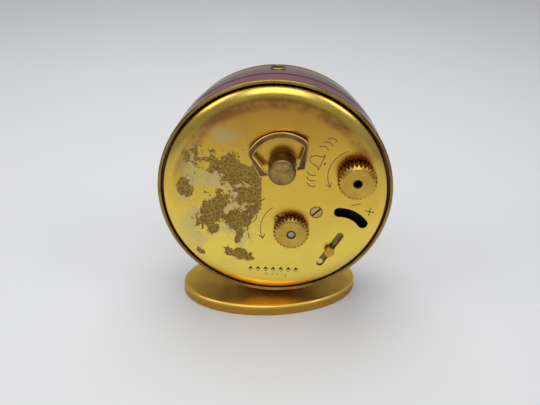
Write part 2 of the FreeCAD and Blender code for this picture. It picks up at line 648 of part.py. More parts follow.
def regulator_lever():
    middle = (REGULATOR_FROM + REGULATOR_TO) / 2
    hub = rod(BALANCE_AXIS, *REGULATOR_LEVEL, 1.9)
    arm = slab(slot_outline(polar(BALANCE_AXIS, 1.0, middle), polar(BALANCE_AXIS, REGULATOR_RADIUS, middle),
        0.9), *REGULATOR_LEVEL)
    tail = slab(slot_outline(polar(BALANCE_AXIS, 1.0, middle + 180), polar(BALANCE_AXIS, 2.6, middle + 180),
        0.9), *REGULATOR_LEVEL)
    return hub.fuse([arm, tail]).cut(rod(BALANCE_AXIS, -3, 3, 0.9 + RUN)).removeSplitter()


BUTTON_DEPTH = 12.6
BUTTON_RADIUS = 1.2
BUTTON_BORE = BUTTON_RADIUS + RUN
BUSH_RADIUS = 1.95
BUSH_PROUD = 0.55


def band_outer_at(depth):
    """The front band's outer radius at a depth, from the arc it is turned to."""
    a, b = (FRONT_BAND_OUTER, REAR_BAND_DEPTH), (FRONT_END_OUTER, FRONT_BAND_DEPTH)
    m = ((a[0] + b[0]) / 2 + FRONT_BAND_BULGE, (a[1] + b[1]) / 2)
    arc = Part.Arc(V(*a, 0), V(*m, 0), V(*b, 0)).toShape().Curve
    return arc.Center.x + math.sqrt(arc.Radius ** 2 - (depth - arc.Center.y) ** 2)


def button_bush():
    top = band_outer_at(BUTTON_DEPTH) + BUSH_PROUD
    low = top - BUSH_PROUD - BAND_WALL - 0.5
    bush = Part.makeCylinder(BUSH_RADIUS, top - low, at(0, low, BUTTON_DEPTH), V(0, 0, 1))
    edge = [e for e in bush.Edges if abs(e.BoundBox.ZMin - (AXIS_Z + top)) < 1e-6]
    bush = bush.makeFillet(0.3, edge)
    return bush.cut(Part.makeCylinder(BUTTON_BORE, top, at(0, low - 1, BUTTON_DEPTH), V(0, 0, 1)))


def stop_button():
    top = band_outer_at(BUTTON_DEPTH) + BUSH_PROUD - 0.35
    low = PLATE_RADIUS + 0.5
    pin = Part.makeCylinder(BUTTON_RADIUS, top - low, at(0, low, BUTTON_DEPTH), V(0, 0, 1))
    edge = [e for e in pin.Edges if abs(e.BoundBox.ZMin - (AXIS_Z + top)) < 1e-6]
    collar = Part.makeCylinder(BUTTON_RADIUS + 0.4, 0.6, at(0, low, BUTTON_DEPTH), V(0, 0, 1))
    return pin.makeFillet(0.3, edge).fuse(collar).removeSplitter()


# ---- Movement frame ------------------------------------------------------------------------------
def train_places():
    """Where each arbor of the going train stands."""
    centre = (0.0, 0.0)
    barrel_module = 2 * BARREL_PITCH_RADIUS / BARREL_TEETH[0]
    far = BARREL_PITCH_RADIUS + barrel_module * BARREL_TEETH[1] / 2
    near = RELAY_MODULE * sum(RELAY_TEETH) / 2
    span = distance(centre, BARREL_AXIS)
    swing = math.degrees(math.acos((near ** 2 + span ** 2 - far ** 2) / (2 * near * span)))
    relay = polar(centre, near, bearing(centre, BARREL_AXIS) - swing)
    third = polar(centre, CENTRE_MODULE * sum(CENTRE_TEETH) / 2, THIRD_BEARING)
    fourth = polar(third, THIRD_MODULE * sum(THIRD_TEETH) / 2, FOURTH_BEARING)
    escape = polar(fourth, FOURTH_MODULE * sum(FOURTH_TEETH) / 2, ESCAPE_BEARING)
    pallet = polar(escape, PALLET_DISTANCE, bearing(escape, BALANCE_AXIS))
    return {"relay": relay, "third": third, "fourth": fourth, "escape": escape, "pallet": pallet,
        "module": barrel_module}


AXES = train_places()
PIVOT = 0.25
JEWEL = 0.8
STEEL_PIVOT = 0.45
JEWELLED = ("third", "fourth", "escape")
HAMMER_AXIS = (-12.0, 13.5)
HAMMER_HEAD = (-4.4, 19.4)
GONG_POST = (-3.6, 21.6)
CLICK_AXIS = (6.2, -6.3)
COCK_FOOT = polar(BALANCE_AXIS, 8.0, -50)
BRIDGE_FOOT = polar(AXES["pallet"], 5.6, -80)
BALANCE_WELL = BALANCE_RADIUS + 0.65


def pillars():
    return [polar((0, 0), PILLAR_RING, a) for a in PILLAR_ANGLES]


def back_plate():
    plate = rod((0, 0), *BACK_PLATE, PLATE_RADIUS).cut(rod(BALANCE_AXIS, 0, 4, BALANCE_WELL))
    for place in COVER_SCREWS:
        plate = plate.fuse(rod(place, COVER_UNDER + SCREW_PAD, BACK_PLATE[0], 1.7))
        plate = plate.cut(rod(place, -2, BACK_PLATE[0], SCREW_RADIUS))
    holes = [(AXES[n], JEWEL) for n in JEWELLED]
    holes += [(KEY_AXIS, 1.0 + RUN), (BARREL_AXIS, 1.3 + RUN), ((0, 0), STEEL_PIVOT + RUN),
        (AXES["relay"], STEEL_PIVOT + RUN)]
    holes += [(SET_AXIS, SET_ARBOR_RADIUS + RUN), (ALARM_AXIS, SET_ARBOR_RADIUS + RUN),
        (HAMMER_AXIS, STEEL_PIVOT + RUN)]
    holes += [(p, SCREW_RADIUS) for p in pillars()] + [(COCK_FOOT, SCREW_RADIUS)]
    for place, radius in holes:
        plate = plate.cut(rod(place, 0, 4, radius))
    return plate


def front_plate():
    plate = rod((0, 0), *FRONT_PLATE, PLATE_RADIUS)
    holes = [(AXES[n], JEWEL) for n in (*JEWELLED, "pallet")] + [(BALANCE_AXIS, JEWEL)]
    holes += [(BARREL_AXIS, 1.3 + RUN), ((0, 0), STEEL_PIVOT + RUN), (AXES["relay"], STEEL_PIVOT + RUN)]
    holes += [(SET_AXIS, SET_ARBOR_RADIUS + RUN), (ALARM_AXIS, SET_ARBOR_RADIUS + RUN),
        (HAMMER_AXIS, STEEL_PIVOT + RUN)]
    for place, radius in holes:
        plate = plate.cut(rod(place, 10, 13, radius))
    return plate


def plate_pillars():
    posts = [rod(p, BACK_PLATE[1], FRONT_PLATE[0], PILLAR_RADIUS) for p in pillars()]
    return group(*[post.cut(rod(p, 0, BACK_PLATE[1] + 1.6, SCREW_RADIUS)) for post, p in zip(posts,
        pillars())])


def plate_screws():
    return group(*[slotted_screw(p, BACK_PLATE[0] - 0.7, 1.6, 0.7, BACK_PLATE[1] + 1.5, 30.0 + 50 * k)
        for k, p in enumerate(pillars())])


def train_jewels():
    stones = []
    for name in JEWELLED:
        for level in (BACK_PLATE, FRONT_PLATE):
            stones.append(tube(AXES[name], *level, JEWEL, PIVOT + RUN))
    stones.append(tube(AXES["pallet"], *FRONT_PLATE, JEWEL, PIVOT + RUN))
    stones.append(tube(AXES["pallet"], *BRIDGE_LEVEL, JEWEL, PIVOT + RUN))
    stones.append(tube(BALANCE_AXIS, *FRONT_PLATE, JEWEL, PIVOT + RUN))
    stones.append(tube(BALANCE_AXIS, *COCK_LEVEL, JEWEL, PIVOT + RUN))
    stones.append(rod(BALANCE_AXIS, FRONT_PLATE[1], FRONT_PLATE[1] + 0.3, 0.9))
    stones.append(rod(BALANCE_AXIS, COCK_LEVEL[0] - 0.3, COCK_LEVEL[0], 0.9))
    return group(*stones)


BRIDGE_LEVEL = (4.4, 5.0)
STUD = polar(BALANCE_AXIS, 3.4, 15)


def balance_cock():
    bar = slab(slot_outline(BALANCE_AXIS, COCK_FOOT, 4.4), *COCK_LEVEL)
    stud_arm = slab(slot_outline(BALANCE_AXIS, STUD, 1.2), *COCK_LEVEL)
    bar = bar.fuse([stud_arm, rod(STUD, COCK_LEVEL[1], 2.3, 0.4)]).removeSplitter()
    return bar.cut(rod(BALANCE_AXIS, 0, 4, JEWEL)).cut(rod(COCK_FOOT, -3, 4, SCREW_RADIUS))


def cock_screw():
    return slotted_screw(COCK_FOOT, -0.05, 1.3, 0.45, BACK_PLATE[1], 60.0)


def pallet_bridge():
    bar = slab(slot_outline(AXES["pallet"], BRIDGE_FOOT, 2.4), *BRIDGE_LEVEL)
    return bar.fuse(rod(BRIDGE_FOOT, BRIDGE_LEVEL[1], FRONT_PLATE[0], 1.2)).cut(rod(AXES["pallet"], 0, 8,
        JEWEL)).removeSplitter()


# ---- Barrel and winding work ---------------------------------------------------------------------
BARREL_LEVEL = (4.5, 9.9)
BARREL_DRUM = 9.3
WINDING_MODULE = 2 * distance(KEY_AXIS, BARREL_AXIS) / sum(WINDING_TEETH)
WINDING_PHASE = 0.0


def winding_pinion():
    return gear(KEY_AXIS, WINDING_TEETH[0], WINDING_MODULE, *WINDING_LEVEL, WINDING_PHASE, 1.5)


def ratchet_wheel():
    phase = meshed(KEY_AXIS, WINDING_TEETH[0], WINDING_PHASE, BARREL_AXIS, WINDING_TEETH[1])
    wheel = gear(BARREL_AXIS, WINDING_TEETH[1], WINDING_MODULE, *WINDING_LEVEL, phase, 1.3)
    return lightened(wheel, BARREL_AXIS, *WINDING_LEVEL, 5.2, 1.7)


def barrel_arbor():
    shaft = rod(BARREL_AXIS, WINDING_LEVEL[0] - 0.2, FRONT_PLATE[1], 1.3)
    return shaft.fuse(rod(BARREL_AXIS, BARREL_LEVEL[0] + 0.8, BARREL_LEVEL[1] - 0.9, 2.2)).removeSplitter()


def barrel_drum():
    d0, d1 = BARREL_LEVEL
    teeth = slab(teeth_outline(BARREL_AXIS, BARREL_TEETH[0], AXES["module"], 0.0), d1 - 0.8, d1)
    drum = rod(BARREL_AXIS, d0, d1, BARREL_DRUM).fuse(teeth).removeSplitter()
    drum = drum.cut(rod(BARREL_AXIS, d0 - 1, d1 - 0.8, BARREL_DRUM - 0.5))
    return drum.cut(rod(BARREL_AXIS, d0 - 1, d1 + 1, 1.3 + RUN))


def barrel_lid():
    d0 = BARREL_LEVEL[0]
    return tube(BARREL_AXIS, d0, d0 + 0.5, BARREL_DRUM - 0.5, 1.3 + RUN)


def ribbon(place, r0, r1, turns, thickness, d0, d1, start=0.0):
    """A flat spiral strip, made of half-turn arcs whose radius grows evenly."""
    steps = 2 * turns
    grow = (r1 - r0) / steps
    outer, inner = [], []
    for side, sign in ((outer, 0.5), (inner, -0.5)):
        for k in range(steps + 1):
            side.append(polar(place, r0 + grow * k + sign * thickness, start + 180 * k))
    points = [outer[0]]
    for k in range(steps):
        mid = polar(place, r0 + grow * (k + 0.5) + 0.5 * thickness, start + 180 * k + 90)
        points.append(mid + outer[k + 1])
    points.append(inner[-1])
    for k in reversed(range(steps)):
        mid = polar(place, r0 + grow * (k + 0.5) - 0.5 * thickness, start + 180 * k + 90)
        points.append(mid + inner[k])
    return slab(points, d0, d1)


def mainspring():
    return ribbon(BARREL_AXIS, 2.2 + 0.13, BARREL_DRUM - 0.5 - 0.11, 9, 0.22, BARREL_LEVEL[0] + 0.8,
        BARREL_LEVEL[1] - 1.1)


def click():
    """The pawl, lifted clear of the ratchet wheel's teeth."""
    reach = WINDING_MODULE * WINDING_TEETH[1] / 2 + ADDENDUM * WINDING_MODULE + 0.12
    tip = polar(BARREL_AXIS, reach, bearing(BARREL_AXIS, CLICK_AXIS) + 16)
    arm = slab([polar(CLICK_AXIS, 1.1, bearing(CLICK_AXIS, tip) + 70),
        polar(CLICK_AXIS, 1.1, bearing(CLICK_AXIS, tip) - 70), tip], *WINDING_LEVEL)
    return arm.fuse(rod(CLICK_AXIS, *WINDING_LEVEL, 1.3)).cut(rod(CLICK_AXIS, -1, 3,
        0.7 + RUN)).removeSplitter()


def click_screw():
    head = rod(CLICK_AXIS, WINDING_LEVEL[0] - 0.45, WINDING_LEVEL[0] - RUN, 1.15)
    return head.fuse(rod(CLICK_AXIS, WINDING_LEVEL[0] - RUN, BACK_PLATE[0], 0.7))


# ---- Going train ---------------------------------------------------------------------------------
def wheel_and_pinion(place, shaft, bearings, pivot, wheel_solid, pinion_solid, radius):
    """One arbor: its turned steel with the pinion, and the brass wheel riveted to it."""
    steel = arbor(place, *shaft, radius, pivot, bearings)
    return group(steel, wheel_solid, pinion_solid)


PHASE = {}
PHASE["relay_pinion"] = meshed(BARREL_AXIS, BARREL_TEETH[0], 0.0, AXES["relay"], BARREL_TEETH[1])
PHASE["relay_wheel"] = 0.0
PHASE["centre_pinion"] = meshed(AXES["relay"], RELAY_TEETH[0], 0.0, (0, 0), RELAY_TEETH[1])
PHASE["centre_wheel"] = 0.0
PHASE["third_pinion"] = meshed((0, 0), CENTRE_TEETH[0], 0.0, AXES["third"], CENTRE_TEETH[1])
PHASE["fourth_pinion"] = meshed(AXES["third"], THIRD_TEETH[0], 0.0, AXES["fourth"], THIRD_TEETH[1])
PHASE["escape_pinion"] = meshed(AXES["fourth"], FOURTH_TEETH[0], 0.0, AXES["escape"], FOURTH_TEETH[1])
BETWEEN = (BACK_PLATE[1] + 0.1, FRONT_PLATE[0] - 0.1)
THROUGH = (BACK_PLATE[0] + 0.15, FRONT_PLATE[1])


def relay_wheel():
    r = 0.7
    wheel = gear(AXES["relay"], RELAY_TEETH[0], RELAY_MODULE, 2.7, 3.1, PHASE["relay_wheel"], r)
    pinion = gear(AXES["relay"], BARREL_TEETH[1], AXES["module"], 8.8, 10.2, PHASE["relay_pinion"], r)
    return wheel_and_pinion(AXES["relay"], BETWEEN, THROUGH, STEEL_PIVOT, wheel, pinion, r)


def centre_wheel():
    r = 0.7
    wheel = lightened(gear((0, 0), CENTRE_TEETH[0], CENTRE_MODULE, 3.6, 4.0, 0.0, r), (0, 0), 3.6, 4.0, 4.6,
        1.6)
    pinion = gear((0, 0), RELAY_TEETH[1], RELAY_MODULE, 2.55, 3.3, PHASE["centre_pinion"], r)
    return wheel_and_pinion((0, 0), BETWEEN, (BACK_PLATE[0], HAND_LEVELS[0][1]), CENTRE_ARBOR_RADIUS, wheel,
        pinion, r)


def third_wheel():
    r = 0.4
    place = AXES["third"]
    wheel = lightened(gear(place, THIRD_TEETH[0], THIRD_MODULE, 6.0, 6.4, 0.0, r), place, 6.0, 6.4, 3.4, 1.2)
    pinion = gear(place, CENTRE_TEETH[1], CENTRE_MODULE, 3.3, 4.3, PHASE["third_pinion"], r)
    return wheel_and_pinion(place, BETWEEN, THROUGH, PIVOT, wheel, pinion, r)


def fourth_wheel():
    r = 0.4
    place = AXES["fourth"]
    wheel = lightened(gear(place, FOURTH_TEETH[0], FOURTH_MODULE, 8.4, 8.8, 0.0, r), place, 8.4, 8.8, 2.9,
        1.0)
    pinion = gear(place, THIRD_TEETH[1], THIRD_MODULE, 5.7, 6.7, PHASE["fourth_pinion"], r)
    return wheel_and_pinion(place, BETWEEN, THROUGH, PIVOT, wheel, pinion, r)


def escape_wheel():
    r = 0.3
    place = AXES["escape"]
    points = []
    for k in range(ESCAPE_TEETH):
        a = 360 * k / ESCAPE_TEETH
        points += [polar(place, 2.25, a), polar(place, ESCAPE_RADIUS, a + 9),
            polar(place, ESCAPE_RADIUS - 0.15, a + 13), polar(place, 2.25, a + 12)]
    wheel = slab(points, 5.7, 6.1).cut(rod(place, 5, 7, r))
    pinion = gear(place, FOURTH_TEETH[1], FOURTH_MODULE, 8.1, 9.1, PHASE["escape_pinion"], r)
    return wheel_and_pinion(place, BETWEEN, THROUGH, PIVOT, lightened(wheel, place, 5.7, 6.1, 1.45, 0.6, 4),
        pinion, r)


# ---- Escapement ----------------------------------------------------------------------------------
LEVER_LEVEL = (5.8, 6.2)
STONE_SPREAD = 30.0
STONE_CLEARANCE = 0.17
FORK_CLEARANCE = 0.22


def stone_outline(turn):
    """A pallet stone, pointing at the escape wheel just outside its tip circle."""
    a = bearing(AXES["escape"], AXES["pallet"]) + turn
    near = polar(AXES["escape"], ESCAPE_RADIUS + STONE_CLEARANCE, a)
    far = polar(AXES["escape"], ESCAPE_RADIUS + STONE_CLEARANCE + 0.9, a)
    return [polar(near, 0.16, a + 90), polar(near, 0.16, a - 90), polar(far, 0.16, a - 90),
        polar(far, 0.16, a + 90)]


def pallet_stones():
    return group(*[slab(stone_outline(t), LEVER_LEVEL[0] - 0.05, LEVER_LEVEL[1] + 0.05)
        for t in (-STONE_SPREAD, STONE_SPREAD)])


def pallet_lever():
    pivot = AXES["pallet"]
    to_balance = bearing(pivot, BALANCE_AXIS)
    fork_end = distance(pivot, BALANCE_AXIS) - ROLLER_PIN_RADIUS - 0.12 - FORK_CLEARANCE
    body = rod(pivot, *LEVER_LEVEL, 0.5)
    shapes = [slab(slot_outline(pivot, polar(pivot, fork_end - 0.45, to_balance), 0.6), *LEVER_LEVEL)]
    for s in (-STONE_SPREAD, STONE_SPREAD):
        a = bearing(AXES["escape"], pivot) + s
        shapes.append(slab(slot_outline(pivot, polar(AXES["escape"], ESCAPE_RADIUS + 0.8, a), 0.7),
            *LEVER_LEVEL))
    body = body.fuse(shapes).removeSplitter()
    notch = polar(pivot, fork_end, to_balance)
    body = body.cut(rod(notch, 5, 7, 0.3))
    for t in (-STONE_SPREAD, STONE_SPREAD):
        body = body.cut(slab(stone_outline(t), 5, 7))
    steel = arbor(pivot, BRIDGE_LEVEL[1] + 0.1, BETWEEN[1], 0.3, PIVOT, (BRIDGE_LEVEL[0], THROUGH[1]))
    return body.fuse(steel).removeSplitter()


def balance_wheel():
    rim = tube(BALANCE_AXIS, 3.0, 3.8, BALANCE_RADIUS, BALANCE_RADIUS - 0.7)
    arms = [slab(slot_outline(polar(BALANCE_AXIS, BALANCE_RADIUS - 0.4, a),
        polar(BALANCE_AXIS, BALANCE_RADIUS - 0.4, a + 180), 0.7), 3.2, 3.6) for a in (40,)]
    hub = rod(BALANCE_AXIS, 2.9, 3.9, 0.9)
    wheel = rim.fuse([*arms, hub]).removeSplitter()
    return wheel.cut(rod(BALANCE_AXIS, 0, 6, 0.4))


def balance_staff():
    roller = rod(BALANCE_AXIS, 5.2, 5.6, 1.15)
    pin = polar(BALANCE_AXIS, ROLLER_PIN_RADIUS, bearing(BALANCE_AXIS, AXES["pallet"]))
    collet = rod(BALANCE_AXIS, 1.7, 2.3, 0.7)
    staff = arbor(BALANCE_AXIS, COCK_LEVEL[1] + 0.1, BETWEEN[1], 0.4, PIVOT,
        (COCK_LEVEL[0] + 0.02, THROUGH[1] - 0.02))
    return staff.fuse([roller, collet, rod(pin, 5.2, 6.3, 0.12)]).removeSplitter()


def hairspring():
    return ribbon(BALANCE_AXIS, 0.73, 2.97, 6, 0.06, 1.85, 2.15, bearing(BALANCE_AXIS, STUD))


# ---- Motion work and hands -----------------------------------------------------------------------
PIPE_INNER = CENTRE_ARBOR_RADIUS + RUN
PIPES = [PIPE_INNER + k * (PIPE_WALL + RUN) for k in range(4)]
HAND_LEVELS = ((17.9, 18.2), (17.3, 17.6), (16.7, 17.0))
HAND_THICKNESS = 0.3


def cannon_pinion():
    pinion = gear((0, 0), CANNON_TEETH[0], MINUTE_MODULE, *MINUTE_LEVEL, 0.0, PIPES[0])
    return pinion.fuse(tube((0, 0), MINUTE_LEVEL[0], HAND_LEVELS[0][1], PIPES[1] - RUN, PIPES[0]))


def hour_wheel():
    phase = meshed(SET_AXIS, HOUR_TEETH[0], SET_PHASE, (0, 0), HOUR_TEETH[1])
    wheel = gear((0, 0), HOUR_TEETH[1], HOUR_MODULE, *HOUR_LEVEL, phase, PIPES[1])
    wheel = lightened(wheel, (0, 0), *HOUR_LEVEL, 5.2, 1.7)
    return wheel.fuse(tube((0, 0), HOUR_LEVEL[0], HAND_LEVELS[1][1], PIPES[2] - RUN, PIPES[1]))


def alarm_wheel():
    phase = meshed(ALARM_AXIS, ALARM_TEETH[0], 0.0, (0, 0), ALARM_TEETH[1])
    wheel = gear((0, 0), ALARM_TEETH[1], ALARM_MODULE, *ALARM_LEVEL, phase, PIPES[2])
    wheel = lightened(wheel, (0, 0), *ALARM_LEVEL, 10.5, 3.6, 6)
    return wheel.fuse(tube((0, 0), ALARM_LEVEL[0], HAND_LEVELS[2][1], PIPES[3] - RUN, PIPES[2]))


def hand(level, bore, length, width, tail, heading, tip):
    """A tapered baton hand on a round boss, pointing along heading."""
    d0, d1 = level
    origin = (0.0, 0.0)
    a, b = polar(origin, -tail, heading), polar(origin, length, heading)
    blade = slab([
        polar(a, width * 0.35, heading + 90), polar(a, width * 0.35, heading - 90),
        polar(polar(origin, length * 0.6, heading), width / 2, heading - 90), polar(b, tip / 2, heading - 90),
        polar(b, tip / 2, heading + 90), polar(polar(origin, length * 0.6, heading), width / 2, heading + 90),
    ], d0, d1)
    return blade.fuse(rod(origin, d0, d1, bore + 0.75)).cut(rod(origin, d0 - 1, d1 + 1,
        bore)).removeSplitter()


def dial():
    plate = rod((0, 0), DIAL_DEPTH, DIAL_FRONT, DIAL_RADIUS)
    return plate.cut(rod((0, 0), 14, 18, PIPES[3] + 0.1))


def hour_markers():
    """Twelve applied batons, the quarters doubled."""
    batons = []
    for k in range(12):
        width, inner = (1.5, 18.2) if k % 3 == 0 else (0.8, 19.2)
        a, b = polar((0, 0), inner, 30 * k), polar((0, 0), 22.6, 30 * k)
        turn = 30 * k
        h = width / 2
        batons.append(slab([polar(a, h, turn + 90), polar(a, h, turn - 90), polar(b, h, turn - 90),
            polar(b, h, turn + 90)], DIAL_FRONT, DIAL_FRONT + 0.3))
    return group(*batons)


# ---- Alarm striking ------------------------------------------------------------------------------
HAMMER_LEVEL = (-0.4, 0.6)


def alarm_hammer():
    arm = slab(slot_outline(HAMMER_AXIS, HAMMER_HEAD, 1.2), HAMMER_LEVEL[0] + 0.2, HAMMER_LEVEL[1] - 0.2)
    head = rod(HAMMER_HEAD, *HAMMER_LEVEL, 1.3)
    hub = rod(HAMMER_AXIS, *HAMMER_LEVEL, 1.4)
    return arm.fuse([head, hub, rod(HAMMER_AXIS, HAMMER_LEVEL[1], FRONT_PLATE[1],
        STEEL_PIVOT)]).removeSplitter()


def gong_post():
    return rod(GONG_POST, COVER_UNDER, 0.8, 0.8)


# ---- Build and export ----------------------------------------------------------------------------
def build():
    bands = {"rear_band": rear_band(), "front_band": front_band()}
    button_hole = Part.makeCylinder(BUSH_RADIUS, RIM_RADIUS, at(0, 5, BUTTON_DEPTH), V(0, 0, 1))
    bands["front_band"] = bands["front_band"].cut(button_hole)
    setting, minute_wheel = set_arbor()
    return {
        "foot_plate": foot_plate(),
        "foot_screw": foot_screw(),
        "foot_pillar": foot_pillar([
            rod((0, 0), RIM_DEPTH, REAR_BAND_DEPTH, BAND_OUTER - BAND_TAPER - 5),
            *bands.values(),
            rod((0, 0), REAR_BAND_DEPTH - 4, FRONT_BAND_DEPTH, FRONT_END_OUTER),
        ]),
        "rear_rim": rear_rim(),
        "case_band_rear": bands["rear_band"],
        "case_band_front": bands["front_band"],
        "front_bezel": front_bezel(),
        "crystal": crystal(),
        "dial_flange": dial_flange(),
        "dial": dial(),
        "hour_markers": hour_markers(),
        "movement_ring": movement_ring(),
        "back_cover": back_cover(),
        "cover_screws": cover_screws(),
        "winding_stem": winding_stem(),
        "winding_pinion": winding_pinion(),
        "key_bow": key_bow(),
        "alarm_set_knob": alarm_set_knob(),
        "alarm_set_arbor": alarm_arbor(),
        "time_set_knob": time_set_knob(),
        "time_set_arbor": setting,
        "minute_wheel": minute_wheel,
        "alarm_slide": alarm_slide(),
        "alarm_slide_pin": slide_pin(),
        "regulator_lever": regulator_lever(),
        "button_bush": button_bush(),
        "stop_button": stop_button(),
        "back_plate": back_plate(),
        "front_plate": front_plate(),
        "plate_pillars": plate_pillars(),
        "plate_screws": plate_screws(),
        "train_jewels": train_jewels(),
        "balance_cock": balance_cock(),
        "cock_screw": cock_screw(),
        "pallet_bridge": pallet_bridge(),
        "ratchet_wheel": ratchet_wheel(),
        "barrel_arbor": barrel_arbor(),
        "barrel_drum": barrel_drum(),
        "barrel_lid": barrel_lid(),
        "mainspring": mainspring(),
        "click": click(),
        "click_screw": click_screw(),
        "relay_wheel": relay_wheel(),
        "centre_wheel": centre_wheel(),
        "third_wheel": third_wheel(),
        "fourth_wheel": fourth_wheel(),
        "escape_wheel": escape_wheel(),
        "pallet_lever": pallet_lever(),
        "pallet_stones": pallet_stones(),
        "balance_wheel": balance_wheel(),
        "balance_staff": balance_staff(),
        "hairspring": hairspring(),
        "cannon_pinion": cannon_pinion(),
        "hour_wheel": hour_wheel(),
        "alarm_wheel": alarm_wheel(),
        "minute_hand": hand(HAND_LEVELS[0], PIPES[1] - RUN, MINUTE_HAND_LENGTH, 1.5, 4.0, 30.0, 0.4),
        "hour_hand": hand(HAND_LEVELS[1], PIPES[2] - RUN, HOUR_HAND_LENGTH, 2.0, 3.2, 145.0, 0.5),
        "alarm_hand": hand(HAND_LEVELS[2], PIPES[3] - RUN, ALARM_HAND_LENGTH, 0.8, 2.8, -65.0, 0.3),
        "alarm_hammer": alarm_hammer(),
        "gong_post": gong_post(),
    }


def main():
    os.makedirs("parts", exist_ok=True)
    for name, shape in build().items():
        shape.exportStep(os.path.join("parts", name + ".step"))
        solids = shape.Solids
        bad = [s for s in solids if not s.isValid() or s.Volume <= 0]
        print(name, len(solids), "solids", round(sum(s.Volume for s in solids), 3), "mm3", "BAD"
            if bad or not solids else "")


main()
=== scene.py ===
import math

import bmesh
import bpy
from mathutils import Matrix, Vector


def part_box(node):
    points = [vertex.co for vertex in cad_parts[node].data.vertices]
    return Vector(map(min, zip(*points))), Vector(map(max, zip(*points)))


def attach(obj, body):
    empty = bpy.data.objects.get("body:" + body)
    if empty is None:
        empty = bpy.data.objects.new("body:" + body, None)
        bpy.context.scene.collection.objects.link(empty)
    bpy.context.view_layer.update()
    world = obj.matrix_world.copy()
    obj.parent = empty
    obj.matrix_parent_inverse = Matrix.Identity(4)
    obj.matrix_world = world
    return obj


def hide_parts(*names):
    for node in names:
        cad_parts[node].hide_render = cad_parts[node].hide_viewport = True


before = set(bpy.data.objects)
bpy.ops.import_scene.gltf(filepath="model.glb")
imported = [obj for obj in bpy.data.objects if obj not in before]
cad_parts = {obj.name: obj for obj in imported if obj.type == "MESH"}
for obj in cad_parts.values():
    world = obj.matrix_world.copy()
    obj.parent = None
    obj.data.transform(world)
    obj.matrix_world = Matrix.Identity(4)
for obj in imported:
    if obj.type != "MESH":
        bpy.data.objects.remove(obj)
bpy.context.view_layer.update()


# ---- Viewpoint ----
# The clock is looked at from straight behind and well above. Places on it are given in millimetres from the
# case's axis, at the back face of the rear rim.
MM = 0.001
scene = bpy.context.scene
scene.view_settings.view_transform = "Standard"
rim_low, rim_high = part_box("rear_rim")
RIM_Y = rim_high[1]
AXIS = Vector(((rim_low[0] + rim_high[0]) / 2, RIM_Y, (rim_low[2] + rim_high[2]) / 2))


def on_case(x, z, rise=0.0):
    """The point x and z millimetres from the case's axis, and rise millimetres behind the rear rim."""
    return AXIS + Vector((x, rise, z)) * MM


VIEW_DISTANCE, VIEW_LENS, VIEW_MIDDLE = 223.0, 56.15, (1.22, -3.07)
VIEW_YAW, VIEW_DROP, VIEW_ROLL = 181.44, 28.03, 1.0
turn, drop, roll = math.radians(VIEW_YAW), math.radians(VIEW_DROP), math.radians(VIEW_ROLL)
towards = Vector((math.sin(turn) * math.cos(drop), -math.cos(turn) * math.cos(drop), math.sin(drop)))
level = (-towards).cross(Vector((0, 0, 1))).normalized()
upright = level.cross(-towards)
right = level * math.cos(roll) + upright * math.sin(roll)
up = upright * math.cos(roll) - level * math.sin(roll)
camera = bpy.data.objects.new("viewpoint", bpy.data.cameras.new("viewpoint"))
camera.data.sensor_width = 36.0
camera.data.lens = VIEW_LENS
camera.data.clip_start = 0.01
camera.matrix_world = Matrix((right, up, towards)).transposed().to_4x4()
camera.matrix_world.translation = on_case(*VIEW_MIDDLE) + towards * VIEW_DISTANCE * MM
scene.collection.objects.link(camera)
scene.camera = camera


# ---- Table and light ----
# A pale, slightly uneven table top under a broad overhead lamp, with a large soft lamp above the viewer and
# a weak one to each side.
def node(tree, kind, **values):
    """A new shader node, with its sockets or settings given by name."""
    made = tree.nodes.new(kind)
    for key, value in values.items():
        socket = made.inputs.get(key.replace("_", " "))
        if socket is not None:
            socket.default_value = value
        else:
            setattr(made, key, value)
    return made


def new_finish(name, colour, metallic, roughness):
    """A material with its Principled shader set, its node tree and its object coordinates."""
    finish = bpy.data.materials.new(name)
    finish.use_nodes = True
    tree = finish.node_tree
    shader = tree.nodes["Principled BSDF"]
    shader.inputs["Base Color"].default_value = (*colour, 1.0)
    shader.inputs["Metallic"].default_value = metallic
    shader.inputs["Roughness"].default_value = roughness
    finish.diffuse_color = (*colour, 1.0)
    return finish, tree, shader, tree.nodes.new("ShaderNodeTexCoord").outputs["Object"]


def noise(tree, place, scale, detail=4.0, rough=0.55):
    """A noise texture's output."""
    made = node(tree, "ShaderNodeTexNoise", Scale=scale, Detail=detail, Roughness=rough)
    tree.links.new(place, made.inputs["Vector"])
    return made.outputs["Fac"]


def two_tone(tree, amount, one, other, low=0.0, high=1.0):
    """A colour that goes from one to the other as amount goes from low to high."""
    made = node(tree, "ShaderNodeValToRGB")
    for element, spot, colour in zip(made.color_ramp.elements, (low, high), (one, other)):
        element.position, element.color = spot, (*colour, 1)
    tree.links.new(amount, made.inputs["Fac"])
    return made.outputs["Color"]


TABLE_SPREAD = 1.6
table_mesh = bpy.data.meshes.new("table")
table_corners = [(x * TABLE_SPREAD, y * TABLE_SPREAD, 0.0) for x, y in ((-1, -1), (1, -1), (1, 1), (-1, 1))]
table_mesh.from_pydata(table_corners, [], [(0, 1, 2, 3)])
table = bpy.data.objects.new("table", table_mesh)
scene.collection.objects.link(table)
table_finish, tree, shader, place = new_finish("pale_table", (0.78, 0.785, 0.79), 0.0, 0.62)
tone = two_tone(tree, noise(tree, place, 14.0, 3.0, 0.5), (0.76, 0.765, 0.775), (0.80, 0.80, 0.80))
tree.links.new(tone, shader.inputs["Base Color"])
table_mesh.materials.append(table_finish)

